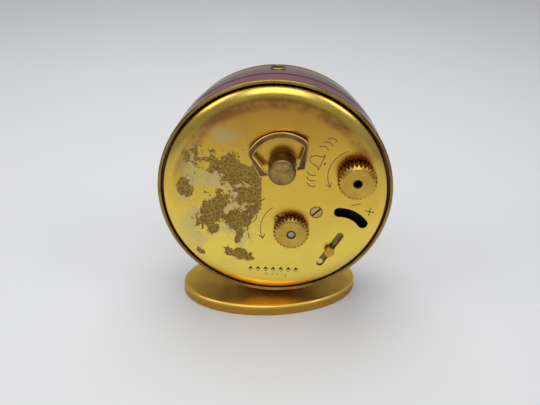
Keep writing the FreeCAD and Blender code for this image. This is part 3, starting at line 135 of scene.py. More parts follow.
world = bpy.data.worlds.new("room")
world.use_nodes = True
world.node_tree.nodes["Background"].inputs["Color"].default_value = (0.93, 0.95, 1.0, 1)
world.node_tree.nodes["Background"].inputs["Strength"].default_value = 0.30
scene.world = world
for name, spot, aim, size, power in (
        ("overhead_lamp", (0.02, -0.12, 0.34), (0.02, -0.12, 0.0), 0.26, 0.62),
        ("viewer_lamp", (0.0, 0.27, 0.39), (0.0, 0.0, 0.05), 0.28, 0.48),
        ("left_lamp", (0.24, 0.12, 0.28), (0.0, 0.0, 0.05), 0.16, 0.19),
        ("right_lamp", (-0.24, 0.12, 0.28), (0.0, 0.0, 0.05), 0.16, 0.17)):
    lamp = bpy.data.lights.new(name, "AREA")
    lamp.size, lamp.energy = size, power
    lamp_object = bpy.data.objects.new(name, lamp)
    lamp_object.location = spot
    lamp_object.rotation_euler = (Vector(spot) - Vector(aim)).to_track_quat("Z", "Y").to_euler()
    scene.collection.objects.link(lamp_object)


# ---- Foot ----
# An oval slab of brass, gilt all over, its top edge rounded over and painted paler as a highlight, screwed to
# the case from underneath through a short pillar that is shaped to the case's belly.
def shaded(mesh, smooth_to=35.0, flat_from=6.0):
    """Smooth shading, creased at sharp edges and where a face square to the case meets one that isn't."""
    work = bmesh.new()
    work.from_mesh(mesh)
    for edge in work.edges:
        edge.smooth = True
        if len(edge.link_faces) == 2:
            one, other = edge.link_faces
            angle = math.degrees(one.normal.angle(other.normal, 0.0))
            level_with = [abs(f.normal.y) > 0.99995 for f in edge.link_faces]
            edge.smooth = angle < smooth_to and not (angle > flat_from and level_with[0] != level_with[1])
    for face in work.faces:
        face.smooth = True
    work.to_mesh(mesh)
    work.free()
    return mesh


def closed(mesh, merge=1e-7):
    """The mesh with its doubles merged and its faces turned outwards."""
    work = bmesh.new()
    work.from_mesh(mesh)
    bmesh.ops.remove_doubles(work, verts=work.verts, dist=merge)
    bmesh.ops.recalc_face_normals(work, faces=work.faces)
    work.to_mesh(mesh)
    work.free()
    return mesh


def piece(mesh, body, nodes, finish=None):
    """Shows a mesh as a piece that rides on body and stands for the CAD nodes."""
    shown = bpy.data.objects.new(mesh.name, mesh)
    scene.collection.objects.link(shown)
    if finish is not None:
        mesh.materials.clear()
        mesh.materials.append(finish)
    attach(shown, body)
    if nodes:
        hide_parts(*nodes)
    return shown


def eased(corners, steps=6, support=0.12):
    """A profile with its corners (u, v, radius) rounded, and a point on each side to hold the straights."""
    points = []
    count = len(corners)
    for k, (u, v, *radius) in enumerate(corners):
        here = Vector((u, v))
        radius = radius[0] if radius else 0.0
        if radius <= 0.0 or k in (0, count - 1):
            points.append(here)
            continue
        back = (Vector(corners[k - 1][:2]) - here)
        ahead = (Vector(corners[k + 1][:2]) - here)
        half = back.angle(ahead) / 2
        reach = radius / math.tan(half)
        centre = here + (back.normalized() + ahead.normalized()).normalized() * (radius / math.sin(half))
        first, last = here + back.normalized() * reach, here + ahead.normalized() * reach
        if back.length > reach + support:
            points.append(here + back.normalized() * (reach + support))
        sweep = math.pi - 2 * half
        way = 1.0 if (first - centre).cross(last - centre) > 0 else -1.0
        for s in range(steps + 1):
            a = way * sweep * s / steps
            spoke = first - centre
            points.append(centre + Vector((spoke.x * math.cos(a) - spoke.y * math.sin(a),
                                           spoke.x * math.sin(a) + spoke.y * math.cos(a))))
        if ahead.length > reach + support:
            points.append(here + ahead.normalized() * (reach + support))
    return points


FOOT_HALF_WIDTH, FOOT_HALF_DEPTH, FOOT_THICKNESS = 24.7, 15.4, 3.0
FOOT_OFFSET, FOOT_TURN = Vector((1.2, -1.0, 0.0)), math.radians(8.0)
foot_profile = eased([
    (7.0, 0.0), (0.0, 0.0, 0.15), (0.0, FOOT_THICKNESS, 0.8), (7.0, FOOT_THICKNESS)], 8, 0.2)
foot_mesh = bpy.data.meshes.new("foot_slab")
corners, faces = [], []
FOOT_POINTS = 160
for inset, height in foot_profile:
    for k in range(FOOT_POINTS):
        a = 2 * math.pi * k / FOOT_POINTS
        edge = Vector((FOOT_HALF_WIDTH * math.cos(a), FOOT_HALF_DEPTH * math.sin(a), height))
        outward = Vector((math.cos(a) / FOOT_HALF_WIDTH, math.sin(a) / FOOT_HALF_DEPTH, 0.0)).normalized()
        corners.append((Matrix.Rotation(FOOT_TURN, 3, "Z") @ (edge - outward * inset) + FOOT_OFFSET) * MM)
for ring in range(len(foot_profile) - 1):
    for k in range(FOOT_POINTS):
        a, b = ring * FOOT_POINTS + k, ring * FOOT_POINTS + (k + 1) % FOOT_POINTS
        faces.append((a, b, b + FOOT_POINTS, a + FOOT_POINTS))
faces.append(tuple(range(len(corners) - FOOT_POINTS, len(corners))))
WELL_RADIUS, WELL_DEPTH, WELL_POINTS = 2.44, 1.5, 48
well = [len(corners) + k for k in range(WELL_POINTS)]
corners += [Vector((WELL_RADIUS * math.cos(a), WELL_RADIUS * math.sin(a), 0.0)) * MM
            for a in [2 * math.pi * k / WELL_POINTS for k in range(WELL_POINTS)]]
corners += [c + Vector((0, 0, WELL_DEPTH * MM)) for c in corners[well[0]:]]
faces.append(tuple(w + WELL_POINTS for w in well))
faces += [(a, b, b + WELL_POINTS, a + WELL_POINTS) for a, b in zip(well, well[1:] + well[:1])]
foot_mesh.from_pydata(corners, [], faces)
work = bmesh.new()
work.from_mesh(foot_mesh)
work.verts.ensure_lookup_table()
rims = [e for e in work.edges if all(v.index < FOOT_POINTS for v in e.verts)]
rims += [e for e in work.edges if all(v.index in well for v in e.verts)]
bmesh.ops.bridge_loops(work, edges=rims)
work.to_mesh(foot_mesh)
work.free()


def graph(tree, operation, a, b=None, c=None, clamp=False):
    """A Math node's output; each of a, b and c is a socket or a number."""
    made = node(tree, "ShaderNodeMath", operation=operation, use_clamp=clamp)
    for k, value in enumerate((a, b, c)):
        if hasattr(value, "links"):
            tree.links.new(value, made.inputs[k])
        elif value is not None:
            made.inputs[k].default_value = value
    return made.outputs[0]


def mixed(tree, amount, one, other):
    """A colour mix; one and other are sockets or colours."""
    made = node(tree, "ShaderNodeMix", data_type="RGBA")
    tree.links.new(amount, made.inputs[0])
    for socket, value in ((made.inputs[6], one), (made.inputs[7], other)):
        if hasattr(value, "links"):
            tree.links.new(value, socket)
        else:
            socket.default_value = (*value, 1.0)
    return made.outputs[2]


def embossed(tree, shader, height, strength, depth):
    """Gives a finish a bump map of a height socket; depth is in metres."""
    bump = node(tree, "ShaderNodeBump", Strength=strength, Distance=depth)
    tree.links.new(height, bump.inputs["Height"])
    tree.links.new(bump.outputs["Normal"], shader.inputs["Normal"])


def shader_group(name, inputs, outputs):
    """A shader node group, with its sockets, its input node and its output node."""
    group = bpy.data.node_groups.new(name, "ShaderNodeTree")
    for socket, kind, value in inputs:
        made = group.interface.new_socket(socket, in_out="INPUT", socket_type=kind)
        if value is not None:
            made.default_value = value
    for socket in outputs:
        group.interface.new_socket(socket, in_out="OUTPUT", socket_type="NodeSocketFloat")
    return group, group.nodes.new("NodeGroupInput"), group.nodes.new("NodeGroupOutput")


# Handling: a slow unevenness of gloss, and fine scratches that run all ways
handling, given, result = shader_group("handling", [
    ("Vector", "NodeSocketVector", None), ("Spread", "NodeSocketFloat", 60.0),
    ("Scratches", "NodeSocketFloat", 0.5)],
    ["Smudge", "Scratch"])
smudge = node(handling, "ShaderNodeTexNoise", Detail=4.0, Roughness=0.6)
handling.links.new(given.outputs["Vector"], smudge.inputs["Vector"])
handling.links.new(given.outputs["Spread"], smudge.inputs["Scale"])
handling.links.new(smudge.outputs["Fac"], result.inputs["Smudge"])
lines = []
for lean, pull in ((0.5, (900.0, 900.0, 22.0)), (-0.9, (22.0, 900.0, 1100.0))):
    stretch = node(handling, "ShaderNodeMapping", Rotation=(0.0, lean, 0.0), Scale=pull)
    pick = node(handling, "ShaderNodeMapRange", From_Min=0.66, From_Max=0.74)
    handling.links.new(given.outputs["Vector"], stretch.inputs["Vector"])
    handling.links.new(noise(handling, stretch.outputs["Vector"], 1.0, 1.0, 0.5), pick.inputs["Value"])
    lines.append(pick.outputs["Result"])
share = graph(handling, "MULTIPLY", graph(handling, "MAXIMUM", *lines), given.outputs["Scratches"])
handling.links.new(share, result.inputs["Scratch"])


def handled(tree, place, spread, scratches):
    """A placed handling group."""
    used = tree.nodes.new("ShaderNodeGroup")
    used.node_tree = handling
    used.inputs["Spread"].default_value = spread
    used.inputs["Scratches"].default_value = scratches
    tree.links.new(place, used.inputs["Vector"])
    return used


def gilt(name, bright, dull, rough, spread=60.0, scratches=0.4):
    """Gilt brass: two tones that drift into each other, uneven gloss and fine scratches."""
    finish, tree, shader, place = new_finish(name, bright, 1.0, rough[0])
    used = handled(tree, place, spread, scratches)
    tones = two_tone(tree, used.outputs["Smudge"], dull, bright, 0.35, 0.65)
    gloss = node(tree, "ShaderNodeMapRange", From_Min=0.3, From_Max=0.7, To_Min=rough[0], To_Max=rough[1])
    tree.links.new(used.outputs["Smudge"], gloss.inputs["Value"])
    scratched = graph(tree, "MULTIPLY_ADD", used.outputs["Scratch"], 0.15, gloss.outputs["Result"])
    tree.links.new(tones, shader.inputs["Base Color"])
    tree.links.new(scratched, shader.inputs["Roughness"])
    embossed(tree, shader, used.outputs["Scratch"], 0.15, 0.00002)
    return finish


foot_gilt = gilt("foot_gilt", (0.98, 0.64, 0.115), (0.78, 0.44, 0.065), (0.28, 0.42), 110.0, 0.7)
# the rounded edge is painted paler as a highlight and the upright side browner as painted shade; heights are
# in metres
tree = foot_gilt.node_tree
shader = tree.nodes["Principled BSDF"]
flat_tone = shader.inputs["Base Color"].links[0].from_socket
depth = node(tree, "ShaderNodeSeparateXYZ")
tree.links.new(tree.nodes["Texture Coordinate"].outputs["Object"], depth.inputs["Vector"])
lift = node(tree, "ShaderNodeMapRange", From_Min=0.0021, From_Max=0.0026)
below_top = node(tree, "ShaderNodeMapRange", From_Min=0.00299, From_Max=0.00288)
tree.links.new(depth.outputs["Z"], lift.inputs["Value"])
tree.links.new(depth.outputs["Z"], below_top.inputs["Value"])
edge_tone = two_tone(tree, lift.outputs["Result"], (0.50, 0.29, 0.050), (0.90, 0.60, 0.13))
tree.links.new(mixed(tree, below_top.outputs["Result"], flat_tone, edge_tone), shader.inputs["Base Color"])
piece(shaded(closed(foot_mesh), 25.0, 360.0), "case", ["foot_plate"], foot_gilt)
pillar_gilt = gilt("pillar_gilt", (0.50, 0.30, 0.06), (0.33, 0.19, 0.04), (0.3, 0.42))
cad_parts["foot_pillar"].data.materials[0] = pillar_gilt
steel_finish = gilt("polished_steel", (0.56, 0.55, 0.53), (0.46, 0.46, 0.46), (0.18, 0.32), 120.0, 0.6)
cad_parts["foot_screw"].data.materials[0] = steel_finish


# ---- Rear rim ----
# A thin half-round ring of gilt brass, pressed into the back edge of the case and worn to a dull brown.
def around(centre, radius, degrees):
    """The point at a radius and bearing from centre, in the plane of the back."""
    a = math.radians(degrees)
    return centre[0] + radius * math.cos(a), centre[1] + radius * math.sin(a)


def turned(name, profile, centre=(0.0, 0.0), segments=216, ring=False):
    """A closed solid of revolution of (radius, rise) points in mm; a radius of 0 closes it at a pole."""
    corners, rings, faces = [], [], []
    for radius, rise in profile:
        first = len(corners)
        if radius < 1e-6:
            corners.append(on_case(centre[0], centre[1], rise))
            rings.append([first] * segments)
        else:
            corners += [on_case(*around(centre, radius, 360 * k / segments), rise) for k in range(segments)]
            rings.append(list(range(first, first + segments)))
    pairs = list(zip(rings, rings[1:])) + ([(rings[-1], rings[0])] if ring else [])
    for low, high in pairs:
        for k in range(segments):
            n = (k + 1) % segments
            face = []
            for corner in (low[k], low[n], high[n], high[k]):
                if corner not in face:
                    face.append(corner)
            if len(face) > 2:
                faces.append(face)
    mesh = bpy.data.meshes.new(name)
    mesh.from_pydata(corners, [], faces)
    return closed(mesh)


RIM_OUTER, RIM_INNER = 31.0, 30.1
rim_profile = eased([
    (30.35, -2.2), (RIM_INNER, -2.2, 0.03), (RIM_INNER, 0.0, 0.36), (RIM_OUTER, 0.0, 0.42),
    (RIM_OUTER, -0.9, 0.08), (30.35, -0.9)], 7, 0.05)
rim_gilt = gilt("rim_gilt", (0.44, 0.285, 0.075), (0.25, 0.150, 0.040), (0.22, 0.40), 160.0, 0.8)
piece(shaded(turned("rear_rim_ring", rim_profile, ring=True), 40, 360), "case", ["rear_rim"],
      rim_gilt)


# ---- Case bands ----
# Two spun brass shells under clear-coated lacquer. The rear one is burgundy and nearly straight; the front
# one is browner, is let into it a step smaller, and draws in towards the dial.
STEP_RISE, FRONT_RISE = -7.7, -18.2
DIRT_FROM = STEP_RISE + 1.0
rear_band_profile = eased([
    (30.35, -0.9), (30.6, -0.9, 0.02), (30.30, DIRT_FROM), (30.25, STEP_RISE, 0.16), (29.55, STEP_RISE),
    (29.55, -3.6), (28.4, -3.6), (28.4, -3.0), (29.9, -3.0), (29.9, -2.2), (30.35, -2.2)], 5, 0.1)
# the outer line follows the turned arc through the belly's middle
ARC = ((30.0, STEP_RISE), (29.725, (STEP_RISE + FRONT_RISE) / 2), (28.45, FRONT_RISE))
(ax, ay), (bx, by), (cx, cy) = ARC
d = 2 * (ax * (by - cy) + bx * (cy - ay) + cx * (ay - by))
ux = ((ax ** 2 + ay ** 2) * (by - cy) + (bx ** 2 + by ** 2) * (cy - ay) + (cx ** 2 + cy ** 2) * (ay - by)) / d
uy = ((ax ** 2 + ay ** 2) * (cx - bx) + (bx ** 2 + by ** 2) * (ax - cx) + (cx ** 2 + cy ** 2) * (bx - ax)) / d
arc_radius = math.hypot(ax - ux, ay - uy)
front_band_profile = []
BAND_STEPS, BAND_WALL = 14, 0.7
for k in range(BAND_STEPS + 1):
    rise = STEP_RISE + (FRONT_RISE - STEP_RISE) * k / BAND_STEPS
    front_band_profile.append((ux + math.sqrt(arc_radius ** 2 - (rise - uy) ** 2), rise))
front_band_profile += [(r - BAND_WALL, rise) for r, rise in reversed(front_band_profile)]
front_band_profile += [(29.2, STEP_RISE), (29.2, -5.7), (29.55, -5.7), (29.55, STEP_RISE)]


def lacquer(name, deep, light, rough):
    """Clear-coated lacquer that drifts between two tones, with dirt in the joint between the bands."""
    finish, tree, shader, place = new_finish(name, deep, 0.0, rough)
    shader.inputs["Coat Roughness"].default_value = 0.07
    used = handled(tree, place, 45.0, 0.35)
    tones = two_tone(tree, used.outputs["Smudge"], deep, light, 0.3, 0.75)
    joint = node(tree, "ShaderNodeSeparateXYZ")
    tree.links.new(place, joint.inputs["Vector"])
    at_joint = graph(tree, "COMPARE", joint.outputs["Y"], RIM_Y + (STEP_RISE + 0.15) * MM, 0.6 * MM)
    tree.links.new(mixed(tree, at_joint, tones, (0.030, 0.003, 0.006)), shader.inputs["Base Color"])
    worst = graph(tree, "MAXIMUM", at_joint, used.outputs["Scratch"])
    tree.links.new(graph(tree, "SUBTRACT", 0.9, worst, clamp=True), shader.inputs["Coat Weight"])
    embossed(tree, shader, used.outputs["Scratch"], 0.12, 0.00002)
    return finish


burgundy = lacquer("burgundy_lacquer", (0.125, 0.010, 0.020), (0.190, 0.020, 0.034), 0.40)
brown_lacquer = lacquer("brown_lacquer", (0.105, 0.045, 0.034), (0.150, 0.075, 0.052), 0.34)
rear_band = piece(shaded(turned("rear_band", rear_band_profile, ring=True), 40, 360), "case",
                  ["case_band_rear"], burgundy)
# dirt has settled on the rear band's front edge
joint_dirt, tree, shader, place = new_finish("joint_dirt", (0.045, 0.006, 0.012), 0.0, 0.7)
shader.inputs["Specular IOR Level"].default_value = 0.15
stain = two_tone(tree, noise(tree, place, 320.0, 4.0, 0.5), (0.03, 0.004, 0.008), (0.10, 0.014, 0.024))
tree.links.new(stain, shader.inputs["Base Color"])
rear_band.data.materials.append(joint_dirt)
for face in rear_band.data.polygons:
    face.material_index = int(face.center.y < RIM_Y + DIRT_FROM * MM)
piece(shaded(turned("front_band", front_band_profile, ring=True), 40, 360), "case", ["case_band_front"],
                   brown_lacquer)


# ---- Button bush and stop button ----
# A small turned brass bush in the top of the front band, with the stop button's dark end just inside it.
BUTTON_RISE = -12.6
bush_low, bush_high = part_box("button_bush")
button_low, button_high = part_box("stop_button")


def upright_turning(name, profile, segments=64):
    """A solid of revolution about the button's upright axis; radii and heights in millimetres."""
    corners, faces = [], []
    foot_point = Vector((AXIS.x, RIM_Y + BUTTON_RISE * MM, 0.0))
    for radius, height in profile:
        for k in range(segments):
            a = 2 * math.pi * k / segments
            corners.append(foot_point + Vector((radius * math.cos(a), radius * math.sin(a), height)) * MM)
    rows = len(profile)
    for row in range(rows):
        for k in range(segments):
            n, after = (k + 1) % segments, (row + 1) % rows
            faces.append((row * segments + k, row * segments + n, after * segments + n, after * segments + k))
    mesh = bpy.data.meshes.new(name)
    mesh.from_pydata(corners, [], faces)
    return closed(mesh)


top, low = bush_high[2] / MM, bush_low[2] / MM
bush_mesh = upright_turning("top_bush", eased([
    (1.24, low + 0.5), (1.24, low), (1.95, low), (1.95, top, 0.3), (1.35, top, 0.15), (1.24, top - 0.3),
    (1.24, low + 0.6)], 5, 0.05))
bush_gilt = gilt("bush_gilt", (0.40, 0.30, 0.14), (0.24, 0.17, 0.08), (0.25, 0.4), 300.0, 0.5)
piece(shaded(bush_mesh, 35, 360), "case", ["button_bush"], bush_gilt)
top, low = button_high[2] / MM, button_low[2] / MM
button_mesh = upright_turning("stop_button_pin", eased([
    (0.0, low), (1.6, low), (1.6, low + 0.6), (1.2, low + 0.6), (1.2, top, 0.35), (0.0, top)], 6, 0.05))
button_brown = gilt("button_brown", (0.16, 0.075, 0.04), (0.09, 0.045, 0.03), (0.3, 0.45), 500.0, 0.6)
piece(shaded(button_mesh, 35, 360), "stop", ["stop_button"], button_brown)


# ---- Back cover ----
# A shallow pressed brass lid with a broad rolled shoulder, gilt and lacquered. The lacquer has gone from
# one side, where the metal is pale and pitted brown; the holes pass the key, the knobs, the screws, the
# regulator and the alarm slide.
COVER_RISE, COVER_SKIRT = 1.5, -3.0
KEY, ALARM, SETTING, BALANCE = (-1.84, 8.7), (-21.1, 6.0), (-4.6, -10.2), (-17.3, -12.15)
SCREWS = ((-11.06, -4.8), (-1.8, -7.1))
SLOT_TOP, SLOT_BOTTOM, SLOT_WIDTH = (-17.68, -11.78), (-12.62, -20.31), 1.9
COVER_WALL, SHOULDER_FROM, SHOULDER_LEAN = 0.5, 25.9, 40.0
SHOULDER_ROUND, EDGE_ROUND = 5.0, 1.5


def shoulder(steps=20):
    """The rolled shoulder from the flat out to the skirt: a slow round that tightens at the edge."""
    lean = math.radians(SHOULDER_LEAN)
    points = [Vector((SHOULDER_FROM + SHOULDER_ROUND * math.sin(lean * k / steps),
                      COVER_RISE - SHOULDER_ROUND * (1 - math.cos(lean * k / steps))))
              for k in range(steps + 1)]
    centre = points[-1] - EDGE_ROUND * Vector((math.sin(lean), math.cos(lean)))
    for k in range(1, steps // 2 + 1):
        a = lean + (math.pi / 2 - lean) * k / (steps // 2)
        points.append(centre + EDGE_ROUND * Vector((math.sin(a), math.cos(a))))
    return points


outside = shoulder()
SKIRT_INSIDE = outside[-1].x - COVER_WALL
cover_profile = [Vector((0.0, COVER_RISE)), Vector((SHOULDER_FROM - 0.6, COVER_RISE))] + outside
cover_profile += [Vector((outside[-1].x, COVER_SKIRT))] + eased([
    (SKIRT_INSIDE, COVER_SKIRT), (SKIRT_INSIDE, COVER_RISE - COVER_WALL, 2.1),
    (SHOULDER_FROM, COVER_RISE - COVER_WALL)], 10, 0.4)
cover_profile += [Vector((0.0, COVER_RISE - COVER_WALL))]
cover_blank = bpy.data.objects.new("cover_blank", turned("cover_blank", cover_profile, segments=240))
scene.collection.objects.link(cover_blank)


def ring_of(centre, radius, points=72):
    """The outline of a round hole."""
    return [around(centre, radius, 360 * k / points) for k in range(points)]


def slot_of(a, b, width, points=20):
    """The outline of a round-ended slot from a to b."""
    lean = math.degrees(math.atan2(b[1] - a[1], b[0] - a[0]))
    return [around(end, width / 2, lean + turn + 180 * k / points)
            for end, turn in ((a, 90), (b, -90)) for k in range(points + 1)]


def arc_slot_of(centre, radius, start, end, width, points=16, steps=40):
    """The outline of a round-ended slot along an arc."""
    outline = []
    for side, here, there, turn in ((1, start, end, 0), (-1, end, start, 180)):
        outline += [around(centre, radius + side * width / 2, here + (there - here) * k / steps)
                    for k in range(steps + 1)]
        outline += [around(around(centre, radius, there), width / 2, there + turn + 180 * k / points)
                    for k in range(1, points)]
    return outline


CUT_FROM, CUT_TO = 3.0, -1.5
cut_corners, cut_faces = [], []
for outline in ([ring_of(KEY, 3.68), ring_of(ALARM, 1.2, 48), ring_of(SETTING, 1.2, 48)]
                + [ring_of(s, 1.72, 60) for s in SCREWS]
                + [slot_of(SLOT_TOP, SLOT_BOTTOM, SLOT_WIDTH), arc_slot_of(BALANCE, 7.5, 88.0, 145.0, 2.7)]):
    first, count = len(cut_corners), len(outline)
    cut_corners += [on_case(x, z, rise) for rise in (CUT_FROM, CUT_TO) for x, z in outline]
    cut_faces += [tuple(range(first, first + count)), tuple(range(first + count, first + 2 * count))]
    for k in range(count):
        n = (k + 1) % count
        cut_faces.append((first + k, first + n, first + count + n, first + count + k))
punch_mesh = bpy.data.meshes.new("punches")
punch_mesh.from_pydata(cut_corners, [], cut_faces)
punches = bpy.data.objects.new("punches", closed(punch_mesh))
scene.collection.objects.link(punches)
punching = cover_blank.modifiers.new("punching", "BOOLEAN")
punching.operation, punching.solver, punching.object = "DIFFERENCE", "EXACT", punches
burr = cover_blank.modifiers.new("eased_holes", "BEVEL")
burr.width, burr.segments, burr.limit_method, burr.angle_limit = 0.09 * MM, 2, "ANGLE", math.radians(50)


def settled(made):
    """The mesh that an object comes to with its modifiers; the object itself is taken away."""
    mesh = bpy.data.meshes.new_from_object(made.evaluated_get(bpy.context.evaluated_depsgraph_get()))
    bpy.data.objects.remove(made)
    return mesh


cover_mesh = settled(cover_blank)
cover_mesh.name = "back_lid"
bpy.data.objects.remove(punches)


def measured_from(point, tree, place):
    """The coordinates as measured from a point, whole and split into X, Y and Z."""
    moved = node(tree, "ShaderNodeMapping", Location=tuple(-point))
    split = node(tree, "ShaderNodeSeparateXYZ")
    tree.links.new(place, moved.inputs["Vector"])
    tree.links.new(moved.outputs["Vector"], split.inputs["Vector"])
    return moved.outputs["Vector"], split


def off_axis(tree, split):
    """The distance from the line through the origin along Y."""
    squares = [graph(tree, "MULTIPLY", split.outputs[way], split.outputs[way]) for way in "XZ"]
    return graph(tree, "SQRT", graph(tree, "ADD", *squares))


def ramp(tree, value, low, high, to_low=0.0, to_high=1.0):
    """A smooth step of value from low to high."""
    made = node(tree, "ShaderNodeMapRange", interpolation_type="SMOOTHSTEP", From_Min=low, From_Max=high,
                To_Min=to_low, To_Max=to_high)
    tree.links.new(value, made.inputs["Value"])
    return made.outputs["Result"]


cover_gilt, tree, shader, place = new_finish("cover_gilt", (0.72, 0.49, 0.09), 1.0, 0.24)
place, split = measured_from(AXIS, tree, place)
used = handled(tree, place, 38.0, 0.6)
# where the lacquer has gone and the brass is pitted: a chain of ragged patches to one side of the axis;
# each is (x, z, half length, half width, lean in degrees), and a negative length leaves sound metal
PATCHES = ((12.1, 6.4, 11.0, 4.6, 26.0), (6.4, 0.0, 3.6, 6.5, 0.0), (15.6, -3.6, 4.2, 6.2, 20.0),
           (10.8, -7.0, 5.4, 3.0, -12.0), (23.4, 1.2, 1.7, 3.0, -30.0), (10.2, -18.2, 4.4, 1.6, 12.0),
           (15.8, -10.6, 1.5, 2.2, 0.0), (9.2, -12.4, 0.9, 2.4, 15.0), (20.0, -17.4, 1.5, 0.9, 40.0),
           (16.6, 1.6, -1.9, 4.4, 18.0))


def patch_reach(place_of, x, z, length, width, lean):
    """One at a patch's outline, less inside it."""
    c, s = math.cos(math.radians(lean)), math.sin(math.radians(lean))
    dx = graph(tree, "SUBTRACT", place_of.outputs["X"], x * MM)
    dz = graph(tree, "SUBTRACT", place_of.outputs["Z"], z * MM)
    long, wide = abs(length) * MM, width * MM
    along = graph(tree, "ADD", graph(tree, "MULTIPLY", dx, c / long), graph(tree, "MULTIPLY", dz, s / long))
    across = graph(tree, "ADD", graph(tree, "MULTIPLY", dz, c / wide), graph(tree, "MULTIPLY", dx, -s / wide))
    squares = [graph(tree, "MULTIPLY", part, part) for part in (along, across)]
    return graph(tree, "SQRT", graph(tree, "ADD", *squares))


reach = None
for spot in PATCHES:
    one = patch_reach(split, *spot)
    if spot[2] < 0:
        reach = graph(tree, "MAXIMUM", reach, graph(tree, "SUBTRACT", 1.9, one))
    else:
        reach = one if reach is None else graph(tree, "MINIMUM", reach, one)
ragged = graph(tree, "MULTIPLY", graph(tree, "SUBTRACT", noise(tree, place, 260.0, 9.0, 0.62), 0.5), 3.6)
torn = graph(tree, "MULTIPLY", graph(tree, "SUBTRACT", noise(tree, place, 900.0, 6.0, 0.7), 0.5), 1.7)
pits = ramp(tree, graph(tree, "ADD", graph(tree, "ADD", reach, ragged), torn), 1.02, 0.94)
speck_field = ramp(tree, patch_reach(split, 15.0, -10.0, 11.5, 11.5, 0.0), 1.05, 0.6)
specks = graph(tree, "MULTIPLY", ramp(tree, noise(tree, place, 620.0, 3.0, 0.6), 0.67, 0.685), speck_field)
pits = graph(tree, "MAXIMUM", pits, specks)
pits = graph(tree, "MULTIPLY", pits, ramp(tree, split.outputs["X"], 0.0032, 0.0037))
# pale bare metal round the pitting, in soft streaks
bare = ramp(tree, patch_reach(split, 14.5, -1.5, 12.5, 22.0, 0.0), 1.15, 0.55)
bare = graph(tree, "MULTIPLY", bare, ramp(tree, noise(tree, place, 150.0, 7.0, 0.6), 0.44, 0.58))
pale = graph(tree, "MULTIPLY", bare, ramp(tree, split.outputs["X"], 0.002, 0.006))
grain = noise(tree, place, 2200.0, 3.0)
pit_colour = mixed(tree, ramp(tree, noise(tree, place, 1900.0, 6.0, 0.75), 0.40, 0.60), (0.20, 0.115, 0.022),
                   (0.50, 0.335, 0.085))
# clear lacquer over gilt: browner at the top and yellower low down, partly the lacquer's own tone and partly
# painted reflection of the darker surroundings the top faces; orange along the bottom edge, a painted
# reflection of the gilt foot;
# and with a darker ragged fringe before the shoulder; radii and heights are in metres from the axis
radius = off_axis(tree, split)
height = graph(tree, "ADD", split.outputs["Z"],
               graph(tree, "MULTIPLY", graph(tree, "SUBTRACT", used.outputs["Smudge"], 0.5), 0.02))
# painted reflection, in part the lacquer's tone: the gilt runs from brown at the top to yellow low down
sound = mixed(tree, ramp(tree, height, 0.000, 0.027), (0.74, 0.50, 0.068), (0.50, 0.275, 0.045))
sound = mixed(tree, ramp(tree, height, 0.004, -0.020), sound, (0.95, 0.74, 0.135))
# painted reflection: the gilt foot's orange painted along the cover's bottom edge
sound = mixed(tree, ramp(tree, split.outputs["Z"], -0.0246, -0.0284), sound, (0.95, 0.62, 0.10))
near_shoulder = graph(tree, "MULTIPLY", ramp(tree, radius, 0.0229, 0.0252),
                      ramp(tree, radius, 0.0278, 0.0260))
near_shoulder = graph(tree, "MULTIPLY", near_shoulder,
                      ramp(tree, noise(tree, place, 120.0, 7.0, 0.75), 0.36, 0.58, 0.25, 1.0))
near_shoulder = graph(tree, "MULTIPLY", near_shoulder, ramp(tree, split.outputs["Z"], 0.000, 0.014))
sound = mixed(tree, near_shoulder, sound, (0.27, 0.115, 0.030))
# the rolled shoulder is paler all round where it is worn; its extra paleness towards the top is a painted
# highlight
rubbed = graph(tree, "MULTIPLY", ramp(tree, radius, 0.0264, 0.0276), ramp(tree, radius, 0.0296, 0.0289))
# painted highlight: the ring is made paler towards the top
rubbed = graph(tree, "MULTIPLY", rubbed, ramp(tree, split.outputs["Z"], 0.000, 0.020, 0.25, 1.0))
rubbed = graph(tree, "MULTIPLY", rubbed, ramp(tree, noise(tree, place, 70.0, 5.0, 0.6), 0.30, 0.60, 0.6, 1.0))
sound = mixed(tree, rubbed, sound, (0.90, 0.64, 0.13))
# painted reflection: a red-brown tone painted into the lacquer just above both knobs and the stem, standing
# for their reflection in the cover
painted_knob_reflections = None
for spot in ((-20.4, 9.6, 6.0, 3.9, -20.0), (-4.4, -6.7, 5.0, 3.2, 0.0), (-1.8, 11.8, 4.0, 3.0, 0.0)):
    soft = ramp(tree, patch_reach(split, *spot), 1.15, 0.45)
    painted_knob_reflections = soft if painted_knob_reflections is None else graph(tree, "MAXIMUM", painted_knob_reflections, soft)
sound = mixed(tree, graph(tree, "MULTIPLY", painted_knob_reflections, 0.80), sound, (0.44, 0.155, 0.018))
base = mixed(tree, graph(tree, "MULTIPLY", pale, 0.66), sound, (0.60, 0.50, 0.27))
base = mixed(tree, pits, base, pit_colour)
tree.links.new(base, shader.inputs["Base Color"])
gloss = ramp(tree, used.outputs["Smudge"], 0.3, 0.7, 0.20, 0.27)
gloss = graph(tree, "ADD", gloss, graph(tree, "MULTIPLY", used.outputs["Scratch"], 0.08))
gloss = graph(tree, "ADD", gloss, graph(tree, "MULTIPLY", pale, 0.10))
gloss = graph(tree, "ADD", gloss, graph(tree, "MULTIPLY", pits, 0.28))
tree.links.new(gloss, shader.inputs["Roughness"])
relief = graph(tree, "SUBTRACT", graph(tree, "MULTIPLY", pits, -1.0),
               graph(tree, "MULTIPLY", used.outputs["Scratch"], 0.15))
relief = graph(tree, "ADD", relief, graph(tree, "MULTIPLY", graph(tree, "MULTIPLY", grain, pits), 0.7))
embossed(tree, shader, relief, 0.5, 0.00004)
piece(shaded(cover_mesh, 35, 6), "case", ["back_cover"], cover_gilt)
